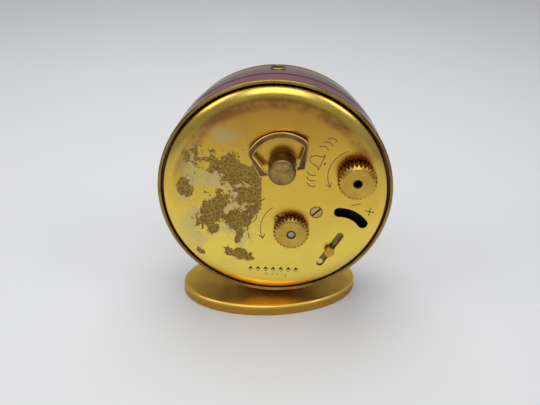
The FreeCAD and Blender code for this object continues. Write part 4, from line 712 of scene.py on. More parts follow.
# painted shade: the walls of the punched holes take a dark finish
painted_shade_finish = gilt("painted_shade_edge", (0.10, 0.055, 0.015), (0.045, 0.024, 0.008), (0.4, 0.55), 400.0)
cover_mesh.materials.append(painted_shade_finish)
PUNCHED_WITHIN, INNER_FACE = 26.4, RIM_Y + (COVER_RISE - COVER_WALL - 0.2) * MM
for face in cover_mesh.polygons:
    out = math.hypot(face.center.x - AXIS.x, face.center.z - AXIS.z) / MM
    if abs(face.normal.y) < 0.8 and out < PUNCHED_WITHIN and face.center.y > INNER_FACE:
        face.material_index = 1


# ---- Engraved signs ----
# Cuts in the back filled with dark wax, made as thin strips just proud of it: an arrow and a bell for the
# alarm knob, an arrow and a clock face for the setting knob, slow and fast signs for the regulator, a row of
# jewel lozenges and a few scratches.
def sheet_of(name, loops, thickness, edge, matrix, resolution=2):
    """A flat piece cut from closed loops in millimetres, outermost first, with its edges eased."""
    curve = bpy.data.curves.new(name, "CURVE")
    curve.dimensions, curve.fill_mode = "2D", "BOTH"
    curve.extrude, curve.offset = thickness / 2 - edge, -edge
    curve.bevel_depth, curve.bevel_resolution = edge, resolution
    for loop in loops:
        spline = curve.splines.new("POLY")
        spline.points.add(len(loop) - 1)
        spline.use_cyclic_u = True
        for point, (u, v) in zip(spline.points, loop):
            point.co = (u, v, 0.0, 1.0)
    drawn = bpy.data.objects.new(name, curve)
    scene.collection.objects.link(drawn)
    mesh = settled(drawn)
    mesh.name = name
    bpy.data.curves.remove(curve)
    closed(mesh, 1e-4)
    mesh.transform(matrix)
    return closed(mesh, 1e-9)


def on_back(rise, centre=(0.0, 0.0)):
    """Lays a drawing in (x, z) millimetres on the back, its middle at a rise behind the rim."""
    lay = Matrix(((MM, 0, 0, 0), (0, 0, MM, 0), (0, MM, 0, 0), (0, 0, 0, 1)))
    lay.translation = on_case(*centre, rise)
    return lay


def joined(name, meshes):
    """One mesh of several."""
    work = bmesh.new()
    for mesh in meshes:
        work.from_mesh(mesh)
        bpy.data.meshes.remove(mesh)
    whole = bpy.data.meshes.new(name)
    work.to_mesh(whole)
    work.free()
    return whole


CUT_WIDTH, CUT_LIFT, ARROW_WIDTH, BARB_LENGTH = 0.24, 0.012, 0.2, 1.5


def stroke(points, width=CUT_WIDTH):
    """The outline of a line of even width through points."""
    left, back = [], []
    for k, p in enumerate(points):
        a, b = Vector(points[max(0, k - 1)]), Vector(points[min(len(points) - 1, k + 1)])
        along = (b - a).normalized()
        side = Vector((-along.y, along.x)) * width / 2
        left.append(tuple(Vector(p) + side))
        back.append(tuple(Vector(p) - side))
    return [left + back[::-1]]


def arc_points(centre, radius, start, end, count=28):
    """Points along an arc."""
    return [around(centre, radius, start + (end - start) * k / count) for k in range(count + 1)]


def arrow(centre, radius, start, end, barbs):
    """An arc with two barbs at its end, each at a bearing of its own."""
    line = arc_points(centre, radius, start, end)
    barb_lines = [[line[-1], around(line[-1], BARB_LENGTH, barb)] for barb in barbs]
    return [stroke(line, ARROW_WIDTH)] + [stroke(barb_line) for barb_line in barb_lines]


def set_down(shape, at, lean, scale):
    """A drawing turned by lean, scaled and moved to a point."""
    return [(at[0] + scale * (u * math.cos(lean) - v * math.sin(lean)),
             at[1] + scale * (u * math.sin(lean) + v * math.cos(lean))) for u, v in shape]


# alarm: arrow about the knob, its head at the lower end, and a bell beside it
strokes = arrow(ALARM, 7.5, 71, -27, (95, 35))
BELL_OUT, BELL_BEARING, BELL_SCALE = 11.4, 22, 1.15
BELL = [(-1.9, -1.3), (-1.25, -0.7), (-1.05, 0.6), (-0.55, 1.35), (0.0, 1.6), (0.55, 1.35), (1.05, 0.6),
        (1.25, -0.7), (1.9, -1.3)]
bell_at, lean = around(ALARM, BELL_OUT, BELL_BEARING), math.radians(BELL_BEARING - 90)
for shape, width in ((BELL, CUT_WIDTH), ([BELL[0], BELL[-1]], CUT_WIDTH),
                     ([(-0.3, -2.05), (0.3, -2.05)], 0.45)):
    strokes += [stroke(set_down(shape, bell_at, lean, BELL_SCALE), width)]
for away in (14, 22, 30):
    for side in (-1, 1):
        ripple = around(ALARM, BELL_OUT, BELL_BEARING + side * away)
        ends = [BELL_BEARING + side * (90 + reach) for reach in (-52, 52)]
        strokes += [stroke(arc_points(ripple, 1.6, *ends, 8))]
# setting: arrow about the knob, and a clock face beside it
strokes += arrow(SETTING, 8.2, 52, -22, (112, 48))
FACE_OUT, FACE_BEARING = 11.6, 18
face_at = around(SETTING, FACE_OUT, FACE_BEARING)
strokes += [stroke(arc_points(face_at, 1.75, 0, 360)),
            stroke([around(face_at, 1.2, 90), face_at, around(face_at, 0.9, 0)], 0.22)]
for bearing in (-12, 1, 35, 48):
    dash = around(SETTING, FACE_OUT, bearing)
    strokes += [stroke([around(dash, 0.9, bearing + 90), around(dash, 0.9, bearing - 90)])]
# regulator: slow and fast
SLOW_AT, FAST_AT = (-21.4, -2.2), (-25.1, -4.15)
for at, bearing in ((SLOW_AT, -12), (FAST_AT, 10), (FAST_AT, 100)):
    strokes += [stroke([around(at, 1.2, bearing), around(at, 1.2, bearing + 180)])]
# a row of small lozenges for the jewels
LOZENGES, ROW_WIDTH = 7, 12.4
for k in range(LOZENGES):
    x = -ROW_WIDTH / 2 + ROW_WIDTH * k / (LOZENGES - 1)
    strokes += [stroke([(x, -22.2), (x + 0.55, -22.9), (x, -23.6), (x - 0.55, -22.9), (x, -22.2)], 0.17)]
# light scratches a repairer left
for x, z, bearing, length in (
        (-3.4, -24.4, 262, 1.0), (-2.7, -24.9, 62, 0.9), (-1.2, -25.0, 84, 0.9), (0.4, -24.9, 118, 0.8),
        (1.7, -24.9, 75, 0.9), (2.6, -24.6, 140, 0.6)):
    middle, end = around((x, z), length * 0.5, bearing), around((x, z), length, bearing + 14)
    strokes += [stroke([(x, z), middle, end], 0.10)]
marks = [sheet_of("cut", s, 0.03, 0.004, on_back(COVER_RISE + CUT_LIFT), 0) for s in strokes]
wax, tree, shader, place = new_finish("dark_wax", (0.10, 0.05, 0.015), 0.0, 0.55)
fill = mixed(tree, ramp(tree, noise(tree, place, 900.0, 3.0), 0.35, 0.65), (0.075, 0.04, 0.012),
             (0.24, 0.14, 0.04))
tree.links.new(fill, shader.inputs["Base Color"])
piece(joined("engraved_signs", marks), "case", [], wax)


# ---- Cover screws ----
# Two cheese-head screws of brass, worn to a warm gold, their heads level with the back.
def screw_head(name, centre, slot_bearing, top, radius, height, slot_width):
    """A head with a rounded edge and a sawn slot."""
    turning = [Vector((0.0, top))] + eased([
        (radius - 0.5, top), (radius, top, 0.12), (radius, top - height), (0.0, top - height)], 4, 0.04)
    blank = bpy.data.objects.new(name, turned(name, turning, centre, 72))
    scene.collection.objects.link(blank)
    saw_mesh = bpy.data.meshes.new("saw")
    along = Vector(around((0, 0), radius + 0.5, slot_bearing))
    across = Vector(around((0, 0), slot_width / 2, slot_bearing + 90))
    flat = [along + across, along - across, -along - across, -along + across]
    saw_corners = [on_case(centre[0] + p.x, centre[1] + p.y, top + 0.5) for p in flat]
    saw_corners += [on_case(centre[0] + p.x, centre[1] + p.y, top - height * 0.55) for p in flat]
    saw_mesh.from_pydata(saw_corners, [], [(0, 1, 2, 3), (4, 5, 6, 7)]
                         + [(k, (k + 1) % 4, 4 + (k + 1) % 4, 4 + k) for k in range(4)])
    saw = bpy.data.objects.new("saw", closed(saw_mesh))
    scene.collection.objects.link(saw)
    sawing = blank.modifiers.new("sawing", "BOOLEAN")
    sawing.operation, sawing.solver, sawing.object = "DIFFERENCE", "EXACT", saw
    mesh = settled(blank)
    bpy.data.objects.remove(saw)
    return mesh


heads = [screw_head("head", centre, bearing, top=COVER_RISE + 0.05, radius=1.55, height=0.6, slot_width=0.45)
         for centre, bearing in zip(SCREWS, (135.0, 40.0))]
SHANK = ((0.0, COVER_RISE - 0.5), (0.7, COVER_RISE - 0.5), (0.7, -1.2), (0.0, -1.2))
shanks = [turned("shank", SHANK, s, 40) for s in SCREWS]
screw_brass = gilt("screw_brass", (0.66, 0.46, 0.17), (0.44, 0.28, 0.10), (0.20, 0.34), 500.0, 0.7)
screw_mesh = shaded(joined("cover_screw_pair", heads + shanks), 30, 6)
piece(screw_mesh, "case", ["cover_screws"], screw_brass)
# painted shade: the screws' faces below the top of the head, in the holes and the sawn slots, take the dark
# finish
screw_mesh.materials.append(painted_shade_finish)
for face in screw_mesh.polygons:
    face.material_index = int(face.center.y < RIM_Y + (COVER_RISE - 0.04) * MM)


# ---- Winding stem ----
# A stout brass post turned with a raised edge, browned by fingers except where its end is rubbed.
STEM_TOP = COVER_RISE + 5.1
stem_mesh = turned("key_stem", [Vector((0.0, STEM_TOP - 0.12))] + eased([
    (2.3, STEM_TOP - 0.12), (2.7, STEM_TOP - 0.02, 0.3), (3.3, STEM_TOP, 0.18), (3.55, STEM_TOP - 0.5, 0.3),
    (3.55, 0.9, 0.1), (1.5, 0.9), (1.5, -0.9), (1.0, -0.9), (1.0, -2.4)], 6, 0.06) + [
    Vector((0.0, -2.4))], KEY, 128)
stem_finish, tree, shader, place = new_finish("stem_browned", (0.40, 0.28, 0.10), 1.0, 0.34)
place, split = measured_from(on_case(*KEY, STEM_TOP), tree, place)
used = handled(tree, place, 260.0, 0.8)
radius = off_axis(tree, split)
end = graph(tree, "MULTIPLY", ramp(tree, radius, 0.0031, 0.0024),
            ramp(tree, split.outputs["Y"], -0.0004, -0.0002))
rubbed = graph(tree, "MULTIPLY", end, ramp(tree, noise(tree, place, 420.0, 5.0, 0.65), 0.34, 0.62))
brown = mixed(tree, ramp(tree, used.outputs["Smudge"], 0.35, 0.65), (0.17, 0.095, 0.045), (0.33, 0.21, 0.085))
tree.links.new(mixed(tree, rubbed, brown, (0.46, 0.31, 0.075)), shader.inputs["Base Color"])
tree.links.new(ramp(tree, used.outputs["Smudge"], 0.3, 0.7, 0.30, 0.48), shader.inputs["Roughness"])
embossed(tree, shader, noise(tree, place, 900.0, 4.0), 0.35, 0.00004)
piece(shaded(stem_mesh, 35, 360), "winding_arbor", ["winding_stem"], stem_finish)


# ---- Folding bow ----
# The winding key's finger bow: a fan-shaped frame stamped from brass sheet, hinged in the stem on two
# stub pins. Its faces have gone brown and its edges are rubbed bright.
BOW_RADIUS, BOW_BAR, BOW_FOOT, BOW_THICK = 9.9, 1.6, 1.3, 0.9
BOW_LEAN, KEY_TURN, BOW_RISE = 15.5, 12.2, COVER_RISE + 3.5


def fan_side(radius, half_foot, foot, shoulder, corner):
    """One side of the fan: from its foot up to a rounded knee, and over to the top of the arc."""
    knee = Vector((math.sqrt(radius ** 2 - shoulder ** 2), shoulder))
    low = Vector((half_foot, foot))
    arc_from = math.degrees(math.atan2(knee.y, knee.x) + corner / radius)
    top_arc = [Vector(around((0, 0), radius, arc_from + (90 - arc_from) * k / 22)) for k in range(23)]
    start, stop = knee + (low - knee).normalized() * corner, top_arc[0]
    bend = [start * (1 - t) ** 2 + knee * 2 * t * (1 - t) + stop * t ** 2 for t in [k / 7 for k in range(7)]]
    return [low] + bend + top_arc


GAP = 3.7
outer = fan_side(BOW_RADIUS, 5.9, -BOW_FOOT / 2, 5.8, 1.25)
inner = fan_side(BOW_RADIUS - BOW_BAR, 5.9 - BOW_BAR, BOW_FOOT / 2, 5.05, 0.35)
right_side = [Vector((GAP, -BOW_FOOT / 2))] + outer
left_side = [Vector((-p.x, p.y)) for p in reversed(right_side[:-1])]
inner_left = [Vector((-GAP, BOW_FOOT / 2))] + [Vector((-p.x, p.y)) for p in inner]
inner_right = [Vector((p.x, p.y)) for p in reversed(inner[:-1])] + [Vector((GAP, BOW_FOOT / 2))]
bow_loop = [tuple(p) for p in right_side + left_side + inner_left + inner_right]
stand = (Matrix.Translation(on_case(*KEY, BOW_RISE)) @ Matrix.Rotation(math.radians(KEY_TURN), 4, "Y")
         @ Matrix.Rotation(math.radians(BOW_LEAN), 4, "X")
         @ Matrix(((MM, 0, 0, 0), (0, 0, MM, 0), (0, MM, 0, 0), (0, 0, 0, 1))))
bow_mesh = sheet_of("finger_bow", [bow_loop], BOW_THICK, 0.26, stand, 3)
pins = bmesh.new()
pins.from_mesh(bow_mesh)
for side in (-1, 1):
    stub = Matrix.Translation((side * 2.6, 0, 0)) @ Matrix.Rotation(math.pi / 2, 4, "Y")
    bmesh.ops.create_cone(pins, cap_ends=True, segments=24, radius1=0.42, radius2=0.42, depth=2.8,
                          matrix=stand @ stub)
pins.to_mesh(bow_mesh)
pins.free()
bow_brown, tree, shader, place = new_finish("bow_browned", (0.115, 0.068, 0.028), 1.0, 0.42)
used = handled(tree, place, 240.0, 0.7)
tone = mixed(tree, ramp(tree, used.outputs["Smudge"], 0.3, 0.7), (0.19, 0.100, 0.036), (0.32, 0.190, 0.072))
tree.links.new(tone, shader.inputs["Base Color"])
tree.links.new(ramp(tree, used.outputs["Smudge"], 0.3, 0.7, 0.34, 0.5), shader.inputs["Roughness"])
embossed(tree, shader, noise(tree, place, 1500.0, 3.0), 0.3, 0.00003)
bow_edge = gilt("bow_edge", (0.98, 0.72, 0.22), (0.78, 0.50, 0.12), (0.28, 0.40), 420.0, 0.4)
bow_mesh.materials.append(bow_brown)
bow_mesh.materials.append(bow_edge)
face_way = (stand.to_3x3() @ Vector((0, 0, 1))).normalized()
for face in bow_mesh.polygons:
    face.material_index = 0 if abs(face.normal.dot(face_way)) > 0.985 else 1
bow_mesh.shade_smooth()
bow_mesh.set_sharp_from_angle(angle=math.radians(20))
bow = bpy.data.objects.new("finger_bow", bow_mesh)
scene.collection.objects.link(bow)
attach(bow, "winding_bow")
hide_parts("key_bow")


# ---- Setting knobs ----
# Two turned brass discs with sharp teeth cut in their rims and a bevel that leaves the teeth as points;
# each is pushed on its arbor, whose end shows in the hole.
def knob_mesh(name, centre, teeth, tip, root, face_radius, under, shoulder, face, hole, hub=2.2, gap=0.25):
    """A toothed disc; heights are above the back cover."""
    def bevel(radius):
        """The height of the face, or of the bevel outside it."""
        slope = (face - shoulder) / (tip - face_radius)
        return face - max(0.0, radius - face_radius) * slope

    corners, faces = [], []
    rows = []
    for tooth in range(teeth):
        for part, radius in ((-0.05, tip), (0.05, tip), (0.42, root), (0.58, root)):
            bearing = 360 * (tooth + part) / teeth
            profile = [
                (hole, gap), (hub - 0.1, gap), (hub, gap + 0.1), (hub, under), (root - 0.5, under),
                (radius - 0.06, under), (radius, under + 0.06), (radius, bevel(radius) - 0.04),
                (radius - 0.04, bevel(radius - 0.04)), (face_radius + 0.05, bevel(face_radius + 0.05)),
                (face_radius - 0.04, face), (face_radius - 0.18, face), (hole + 0.3, face),
                (hole + 0.1, face), (hole, face - 0.1)]
            rows.append([len(corners) + k for k in range(len(profile))])
            corners += [on_case(*around(centre, r, bearing), COVER_RISE + h) for r, h in profile]
    for row, after in zip(rows, rows[1:] + rows[:1]):
        for k in range(len(row)):
            n = (k + 1) % len(row)
            faces.append((row[k], row[n], after[n], after[k]))
    mesh = bpy.data.meshes.new(name)
    mesh.from_pydata(corners, [], faces)
    return shaded(closed(mesh), 22, 3)


def flanked(knob, root, centre):
    """Gives the sides of a knob's teeth the browner finish, and the mouth of its bore the dark finish of
    painted shade.
    """
    knob.data.materials.append(tooth_brown)
    knob.data.materials.append(painted_shade_finish)
    middle = on_case(*centre)
    for face in knob.data.polygons:
        out = math.hypot(face.center.x - middle.x, face.center.z - middle.z) / MM
        if abs(face.normal.y) < 0.25 and out > root - 0.1:
            face.material_index = 1
        elif out < BORE_MOUTH:
            face.material_index = 2


def knob_gilt(name, centre, rise):
    """Gilt brass with the fine rings left by turning, browner down between the teeth."""
    finish, tree, shader, place = new_finish(name, (0.66, 0.44, 0.10), 1.0, 0.26)
    place, split = measured_from(on_case(*centre, rise), tree, place)
    radius = off_axis(tree, split)
    rings = node(tree, "ShaderNodeTexNoise", noise_dimensions="1D", Scale=9000.0, Detail=2.0)
    tree.links.new(radius, rings.inputs["W"])
    used = handled(tree, place, 200.0, 0.4)
    tone = mixed(tree, ramp(tree, used.outputs["Smudge"], 0.3, 0.7), (0.52, 0.315, 0.045),
                 (0.64, 0.420, 0.075))
    low = graph(tree, "MULTIPLY", ramp(tree, radius, 0.0040, 0.0046),
                ramp(tree, split.outputs["Y"], -0.0004, -0.0016))
    tree.links.new(mixed(tree, graph(tree, "MULTIPLY", low, 0.75), tone, (0.24, 0.10, 0.025)),
                   shader.inputs["Base Color"])
    tree.links.new(ramp(tree, rings.outputs["Fac"], 0.3, 0.7, 0.24, 0.34), shader.inputs["Roughness"])
    embossed(tree, shader, rings.outputs["Fac"], 0.10, 0.00003)
    return finish


BORE_MOUTH = 1.15
tooth_brown = gilt("tooth_brown", (0.50, 0.27, 0.050), (0.30, 0.14, 0.028), (0.28, 0.42), 500.0, 0.4)
alarm_knob = piece(knob_mesh("alarm_knob", ALARM, teeth=28, tip=5.05, root=4.43, face_radius=3.95, under=0.9,
                             shoulder=3.55, face=4.4, hole=0.95),
                   "alarm_setting", ["alarm_set_knob"],
                   knob_gilt("alarm_knob_gilt", ALARM, COVER_RISE + 4.4))
setting_knob = piece(knob_mesh("setting_knob", SETTING, teeth=27, tip=4.70, root=4.08, face_radius=3.7,
                               under=0.6,
                               shoulder=2.3, face=3.0, hole=0.95),
                     "hand_setting", ["time_set_knob"],
                     knob_gilt("setting_knob_gilt", SETTING, COVER_RISE + 3.0))
flanked(alarm_knob, 4.43, ALARM)
flanked(setting_knob, 4.08, SETTING)
bright_steel = gilt("bright_steel", (0.46, 0.43, 0.41), (0.30, 0.28, 0.27), (0.22, 0.36), 900.0, 0.5)
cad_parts["time_set_arbor"].data.materials[0] = bright_steel
oiled_steel = gilt("oiled_steel", (0.09, 0.05, 0.035), (0.04, 0.025, 0.02), (0.3, 0.45), 900.0)
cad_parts["alarm_set_arbor"].data.materials[0] = oiled_steel


# ---- Alarm slide ----
# A brass strip that runs under the cover, moved by a small headed pin through the slot; the bright end of
# the rivet that stops it shows in the slot's lower end.
REST = 5.2
slot_lean = math.degrees(math.atan2(SLOT_BOTTOM[1] - SLOT_TOP[1], SLOT_BOTTOM[0] - SLOT_TOP[0]))
SLIDE_PIN = around(SLOT_TOP, REST, slot_lean)
strip_low, strip_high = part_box("alarm_slide")
strip_rise = ((strip_low[1] + strip_high[1]) / 2 - RIM_Y) / MM
strip_line = slot_of(around(SLIDE_PIN, 6.7, slot_lean + 180), SLOT_BOTTOM, 2.8)
strip = sheet_of("slide_strip", [strip_line], 0.6, 0.06, on_back(strip_rise), 1)
strip_brass = gilt("strip_brass", (0.36, 0.23, 0.065), (0.15, 0.085, 0.025), (0.28, 0.44), 420.0, 0.8)
piece(shaded(strip, 25, 6), "alarm_switch", ["alarm_slide"], strip_brass)
RIVET_TOP = COVER_RISE - COVER_WALL - 0.025
rivet = turned("slide_rivet", [Vector((0.0, RIVET_TOP))] + eased([
    (0.5, RIVET_TOP), (0.88, RIVET_TOP - 0.01, 0.02), (0.88, RIVET_TOP - 0.08),
    (0.0, RIVET_TOP - 0.08)], 4, 0.03), SLOT_BOTTOM, 48)
rivet_gold = gilt("rivet_gold", (0.92, 0.76, 0.30), (0.78, 0.60, 0.20), (0.20, 0.30), 400.0, 0.3)
piece(shaded(rivet, 35, 360), "alarm_switch", [], rivet_gold)
pin_mesh = turned("slide_pin_head", [Vector((0.0, COVER_RISE + 1.7))] + eased([
    (0.7, COVER_RISE + 1.7), (1.35, COVER_RISE + 1.62, 0.22), (1.35, COVER_RISE + 0.5, 0.12),
    (0.7, COVER_RISE + 0.5, 0.05), (0.7, 0.36), (0.0, 0.36)], 5, 0.04), SLIDE_PIN, 64)
piece(shaded(pin_mesh, 35, 360), "alarm_switch", ["alarm_slide_pin"],
      knob_gilt("pin_gilt", SLIDE_PIN, COVER_RISE + 1.7))


# ---- Bezel, crystal and dial ----
# The front: a turned gilt bezel holds a domed acrylic crystal over a champagne dial with raised batons, a
# printed minute track and the numbers 12, 3, 6 and 9.
BEZEL_RISE = -21.3
bezel_profile = eased([
    (28.3, -18.2), (28.3, BEZEL_RISE, 1.3), (25.25, BEZEL_RISE, 0.25), (25.25, BEZEL_RISE + 0.7),
    (25.97, BEZEL_RISE + 0.7), (25.97, -18.2), (27.01, -18.2), (27.01, -16.6), (27.71, -16.6),
    (27.71, -18.2)], 8, 0.12)
bezel_gilt = gilt("bezel_gilt", (0.72, 0.50, 0.13), (0.60, 0.40, 0.09), (0.14, 0.24), 60.0, 0.4)
piece(shaded(turned("bezel_ring", bezel_profile, ring=True), 40, 360), "case", ["front_bezel"],
      bezel_gilt)

opening, flange_radius, back_rise, dome = 25.51, 25.93, -19.4, 1.5
sphere = (opening ** 2 + dome ** 2) / (2 * dome)
crystal_gauge = [(0.0, 0.0)]
for k in range(1, 25):
    r = opening * k / 24
    crystal_gauge.append((r, sphere - math.sqrt(sphere ** 2 - r ** 2)))
outside = [(r, BEZEL_RISE - dome + sag) for r, sag in crystal_gauge]
outside = [(min(r, 25.2), rise) for r, rise in outside[:-1]] + [(25.2, BEZEL_RISE)]
inside = [(r, back_rise - dome + sag) for r, sag in reversed(crystal_gauge)]
crystal_profile = outside + [(25.2, BEZEL_RISE + 0.72), (flange_radius, BEZEL_RISE + 0.72),
                             (flange_radius, back_rise)] + inside
acrylic, tree, shader, place = new_finish("clear_acrylic", (0.98, 0.985, 0.98), 0.0, 0.02)
shader.inputs["IOR"].default_value = 1.49
shader.inputs["Transmission Weight"].default_value = 1.0
tree.links.new(ramp(tree, noise(tree, place, 55.0, 5.0), 0.45, 0.8, 0.01, 0.09), shader.inputs["Roughness"])
piece(shaded(turned("domed_crystal", crystal_profile), 30, 360), "case", ["crystal"], acrylic)

DIAL_RISE = -16.2
dial_paint, tree, shader, place = new_finish("sunray_champagne", (0.74, 0.62, 0.38), 0.85, 0.38)
place, split = measured_from(AXIS, tree, place)
bearing = graph(tree, "ARCTAN2", split.outputs["Z"], split.outputs["X"])
rays = node(tree, "ShaderNodeTexNoise", noise_dimensions="1D", Scale=90.0, Detail=6.0, Roughness=0.7)
tree.links.new(bearing, rays.inputs["W"])
tree.links.new(mixed(tree, ramp(tree, rays.outputs["Fac"], 0.25, 0.75), (0.62, 0.50, 0.28),
                     (0.80, 0.69, 0.45)), shader.inputs["Base Color"])
tree.links.new(ramp(tree, rays.outputs["Fac"], 0.25, 0.75, 0.30, 0.46), shader.inputs["Roughness"])
dial_mesh = turned("dial_disc", [(1.93, DIAL_RISE), (4.0, DIAL_RISE), (26.9, DIAL_RISE),
                                 (27.2, DIAL_RISE + 0.05), (27.2, -15.8), (1.93, -15.8)],
                   ring=True)
piece(shaded(dial_mesh, 35, 360), "case", ["dial"], dial_paint)

cream, tree, shader, place = new_finish("cream_ring", (0.72, 0.66, 0.50), 0.0, 0.55)
tree.links.new(mixed(tree, ramp(tree, noise(tree, place, 160.0), 0.3, 0.7), (0.66, 0.60, 0.45),
                     (0.76, 0.70, 0.55)), shader.inputs["Base Color"])
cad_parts["dial_flange"].data.materials[0] = cream


def on_dial(rise, spin=0.0):
    """Lays a drawing on the dial so that it reads from the front; spin is clockwise in degrees."""
    lay = Matrix(((MM, 0, 0, 0), (0, 0, -MM, 0), (0, MM, 0, 0), (0, 0, 0, 1)))
    lay = lay @ Matrix.Rotation(math.radians(-spin), 4, "Z")
    lay.translation = on_case(0.0, 0.0, rise)
    return lay


# a pair of batons at each quarter and one at every other hour: half width, shifts to the sides, inner end
QUARTER, OTHER_HOUR, BATON_END = (0.32, (-0.43, 0.43), 18.2), (0.4, (0.0,), 19.2), 22.6
batons = []
for hour in range(12):
    half, shifts, inner_end = OTHER_HOUR if hour % 3 else QUARTER
    for shift in shifts:
        bar = [(shift + side * half, end) for side, end in
               ((-1, inner_end), (1, inner_end), (1, BATON_END), (-1, BATON_END))]
        batons.append(sheet_of("baton", [bar], 0.3, 0.1, on_dial(DIAL_RISE - 0.15, 30 * hour), 0))
piece(shaded(joined("hour_batons", batons), 20, 3), "case", ["hour_markers"], bezel_gilt)

ink, tree, shader, place = new_finish("dial_ink", (0.02, 0.018, 0.016), 0.0, 0.5)
tree.links.new(mixed(tree, ramp(tree, noise(tree, place, 700.0), 0.3, 0.7), (0.014, 0.012, 0.012),
                     (0.04, 0.035, 0.03)), shader.inputs["Base Color"])
minutes = bpy.data.node_groups.new("minute_track", "GeometryNodeTree")
for name, kind, value in (("Count", "NodeSocketInt", 60), ("Radius", "NodeSocketFloat", 0.0240),
                          ("Dash", "NodeSocketVector", (0.0009, 0.00016, 0.00003))):
    minutes.interface.new_socket(name, in_out="INPUT", socket_type=kind).default_value = value
minutes.interface.new_socket("Ink", in_out="INPUT", socket_type="NodeSocketMaterial")
minutes.interface.new_socket("Geometry", in_out="OUTPUT", socket_type="NodeSocketGeometry")
given, result = minutes.nodes.new("NodeGroupInput"), minutes.nodes.new("NodeGroupOutput")
circle = node(minutes, "GeometryNodeCurvePrimitiveCircle")
places = node(minutes, "GeometryNodeCurveToPoints", mode="COUNT")
dash = node(minutes, "GeometryNodeMeshCube")
spread_out = node(minutes, "GeometryNodeInstanceOnPoints")
made_real = node(minutes, "GeometryNodeRealizeInstances")
inked = node(minutes, "GeometryNodeSetMaterial")
facing = node(minutes, "FunctionNodeAlignRotationToVector", axis="X")
for a, b in ((given.outputs["Radius"], circle.inputs["Radius"]),
             (circle.outputs["Curve"], places.inputs["Curve"]),
             (given.outputs["Count"], places.inputs["Count"]), (given.outputs["Dash"], dash.inputs["Size"]),
             (places.outputs["Points"], spread_out.inputs["Points"]),
             (dash.outputs["Mesh"], spread_out.inputs["Instance"]),
             (places.outputs["Normal"], facing.inputs["Vector"]),
             (facing.outputs["Rotation"], spread_out.inputs["Rotation"]),
             (spread_out.outputs["Instances"], made_real.inputs["Geometry"]),
             (made_real.outputs["Geometry"], inked.inputs["Geometry"]),
             (given.outputs["Ink"], inked.inputs["Material"]),
             (inked.outputs["Geometry"], result.inputs["Geometry"])):
    minutes.links.new(a, b)
track = bpy.data.objects.new("track", bpy.data.meshes.new("track"))
scene.collection.objects.link(track)
laying = track.modifiers.new("minutes", "NODES")
laying.node_group = minutes
for item in minutes.interface.items_tree:
    if item.in_out == "INPUT" and item.name == "Ink":
        laying[item.identifier] = ink
track_mesh = settled(track)
track_mesh.name = "minute_track"
track_mesh.transform(Matrix.Scale(1 / MM, 4))
track_mesh.transform(on_dial(DIAL_RISE - 0.016))
piece(closed(track_mesh, 1e-9), "case", [], ink)

figures = []
for number in (12, 3, 6, 9):
    lettering = bpy.data.curves.new("figure", "FONT")
    lettering.body, lettering.size, lettering.extrude = str(number), 4.6, 0.015
    lettering.align_x, lettering.align_y = "CENTER", "CENTER"
    drawn = bpy.data.objects.new("figure", lettering)
    scene.collection.objects.link(drawn)
    figure = settled(drawn)
    spot = around((0, 0), 15.2, 90 - 30 * (number % 12))
    figure.transform(Matrix.Translation((spot[0], spot[1], 0.0)))
    figure.transform(on_dial(DIAL_RISE - 0.016))
    figures.append(figure)
piece(closed(joined("dial_figures", figures), 1e-9), "case", [], ink)


# ---- Hands ----
# Stamped batons with eased edges: black for the hours and minutes, a slim gilt pointer for the alarm.
hand_black, tree, shader, place = new_finish("hand_black", (0.012, 0.012, 0.013), 0.0, 0.35)
tree.links.new(ramp(tree, noise(tree, place, 300.0), 0.3, 0.7, 0.28, 0.45), shader.inputs["Roughness"])


def pointer(name, node_name, body, length, width, tail, heading, tip, boss, finish):
    """A hand: a flat baton that is widest three fifths of the way out, with a round boss and a tail."""
    low_corner, high_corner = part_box(node_name)
    middle = ((low_corner[1] + high_corner[1]) / 2 - RIM_Y) / MM
    far, near = around((0, 0), length, heading), around((0, 0), -tail, heading)
    wide = around((0, 0), length * 0.6, heading)
    side = Vector(around((0, 0), 1.0, heading + 90))
    join = math.degrees(math.asin(min(1.0, width * 0.4 / boss)))
    loop = [tuple(Vector(wide) - side * width / 2), tuple(Vector(far) - side * tip / 2),
            tuple(Vector(far) + side * tip / 2), tuple(Vector(wide) + side * width / 2)]
    loop += [around((0, 0), boss, heading + join + (180 - 2 * join) * k / 12) for k in range(13)]
    loop += [tuple(Vector(near) + side * width * 0.35), tuple(Vector(near) - side * width * 0.35)]
    loop += [around((0, 0), boss, heading + 180 + join + (180 - 2 * join) * k / 12) for k in range(13)]
    mesh = sheet_of(name, [loop], 0.3, 0.09, on_back(middle), 1)
    piece(shaded(mesh, 25, 4), body, [node_name], finish)


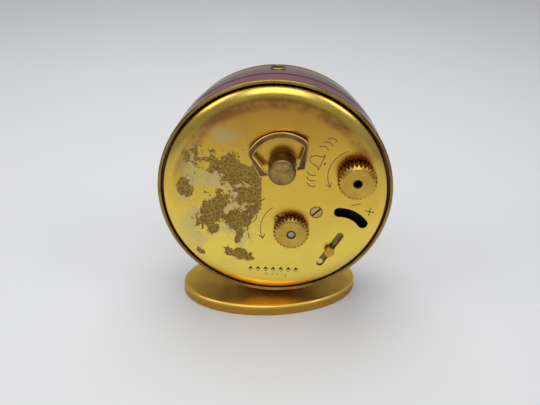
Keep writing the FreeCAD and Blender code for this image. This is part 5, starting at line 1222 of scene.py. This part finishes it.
pointer("minute_pointer", "minute_hand", "minute_pointer", length=20.5, width=1.5, tail=4.0, heading=30.0,
        tip=0.4, boss=1.66, finish=hand_black)
pointer("hour_pointer", "hour_hand", "hour_pointer", length=14.0, width=2.0, tail=3.2, heading=145.0,
        tip=0.5, boss=2.12, finish=hand_black)
pointer("alarm_pointer", "alarm_hand", "alarm_pointer", length=12.0, width=0.8, tail=2.8, heading=-65.0,
        tip=0.3, boss=2.58, finish=bezel_gilt)
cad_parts["cannon_pinion"].data.materials[0] = steel_finish


# ---- Movement ----
# Everything inside the case: brass plates and wheels, steel arbors and screws, blued springs and ruby
# jewels. Little of it shows, through the regulator's slot and beside the slide. The plates, pillars, balance
# cock, pallet bridge and regulator lever are painted nearly black: painted shade for the dark under the
# cover.
# painted shade: brass parts deep under the cover are made nearly black
shade_black_brass = gilt("shade_black_brass", (0.030, 0.020, 0.012), (0.018, 0.012, 0.008), (0.45, 0.6), 90.0, 0.3)
wheel_brass = gilt("wheel_brass", (0.70, 0.50, 0.18), (0.58, 0.40, 0.13), (0.22, 0.34), 150.0, 0.5)
blued = gilt("blued_steel", (0.035, 0.05, 0.12), (0.02, 0.025, 0.06), (0.22, 0.34), 200.0, 0.4)
ruby, tree, shader, place = new_finish("ruby", (0.55, 0.02, 0.07), 0.0, 0.08)
shader.inputs["Coat Weight"].default_value = 1.0
tree.links.new(mixed(tree, ramp(tree, noise(tree, place, 900.0), 0.3, 0.7), (0.42, 0.01, 0.05),
                     (0.66, 0.04, 0.10)), shader.inputs["Base Color"])
moulded, tree, shader, place = new_finish("moulded_black", (0.02, 0.02, 0.02), 0.0, 0.5)
tree.links.new(ramp(tree, noise(tree, place, 400.0), 0.3, 0.7, 0.42, 0.6), shader.inputs["Roughness"])
for finish, names in (
        (shade_black_brass, ("back_plate", "front_plate", "plate_pillars", "balance_cock", "pallet_bridge",
                       "regulator_lever")),
        (wheel_brass, ("barrel_drum", "barrel_lid", "relay_wheel", "centre_wheel", "third_wheel",
                       "fourth_wheel", "minute_wheel", "hour_wheel", "alarm_wheel", "balance_wheel")),
        (steel_finish, ("winding_pinion", "ratchet_wheel", "barrel_arbor", "click", "click_screw",
                        "plate_screws", "cock_screw", "escape_wheel", "pallet_lever", "balance_staff",
                        "alarm_hammer", "gong_post")),
        (blued, ("mainspring", "hairspring")),
        (ruby, ("train_jewels", "pallet_stones")),
        (moulded, ("movement_ring",))):
    for name in names:
        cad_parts[name].data.materials[0] = finish
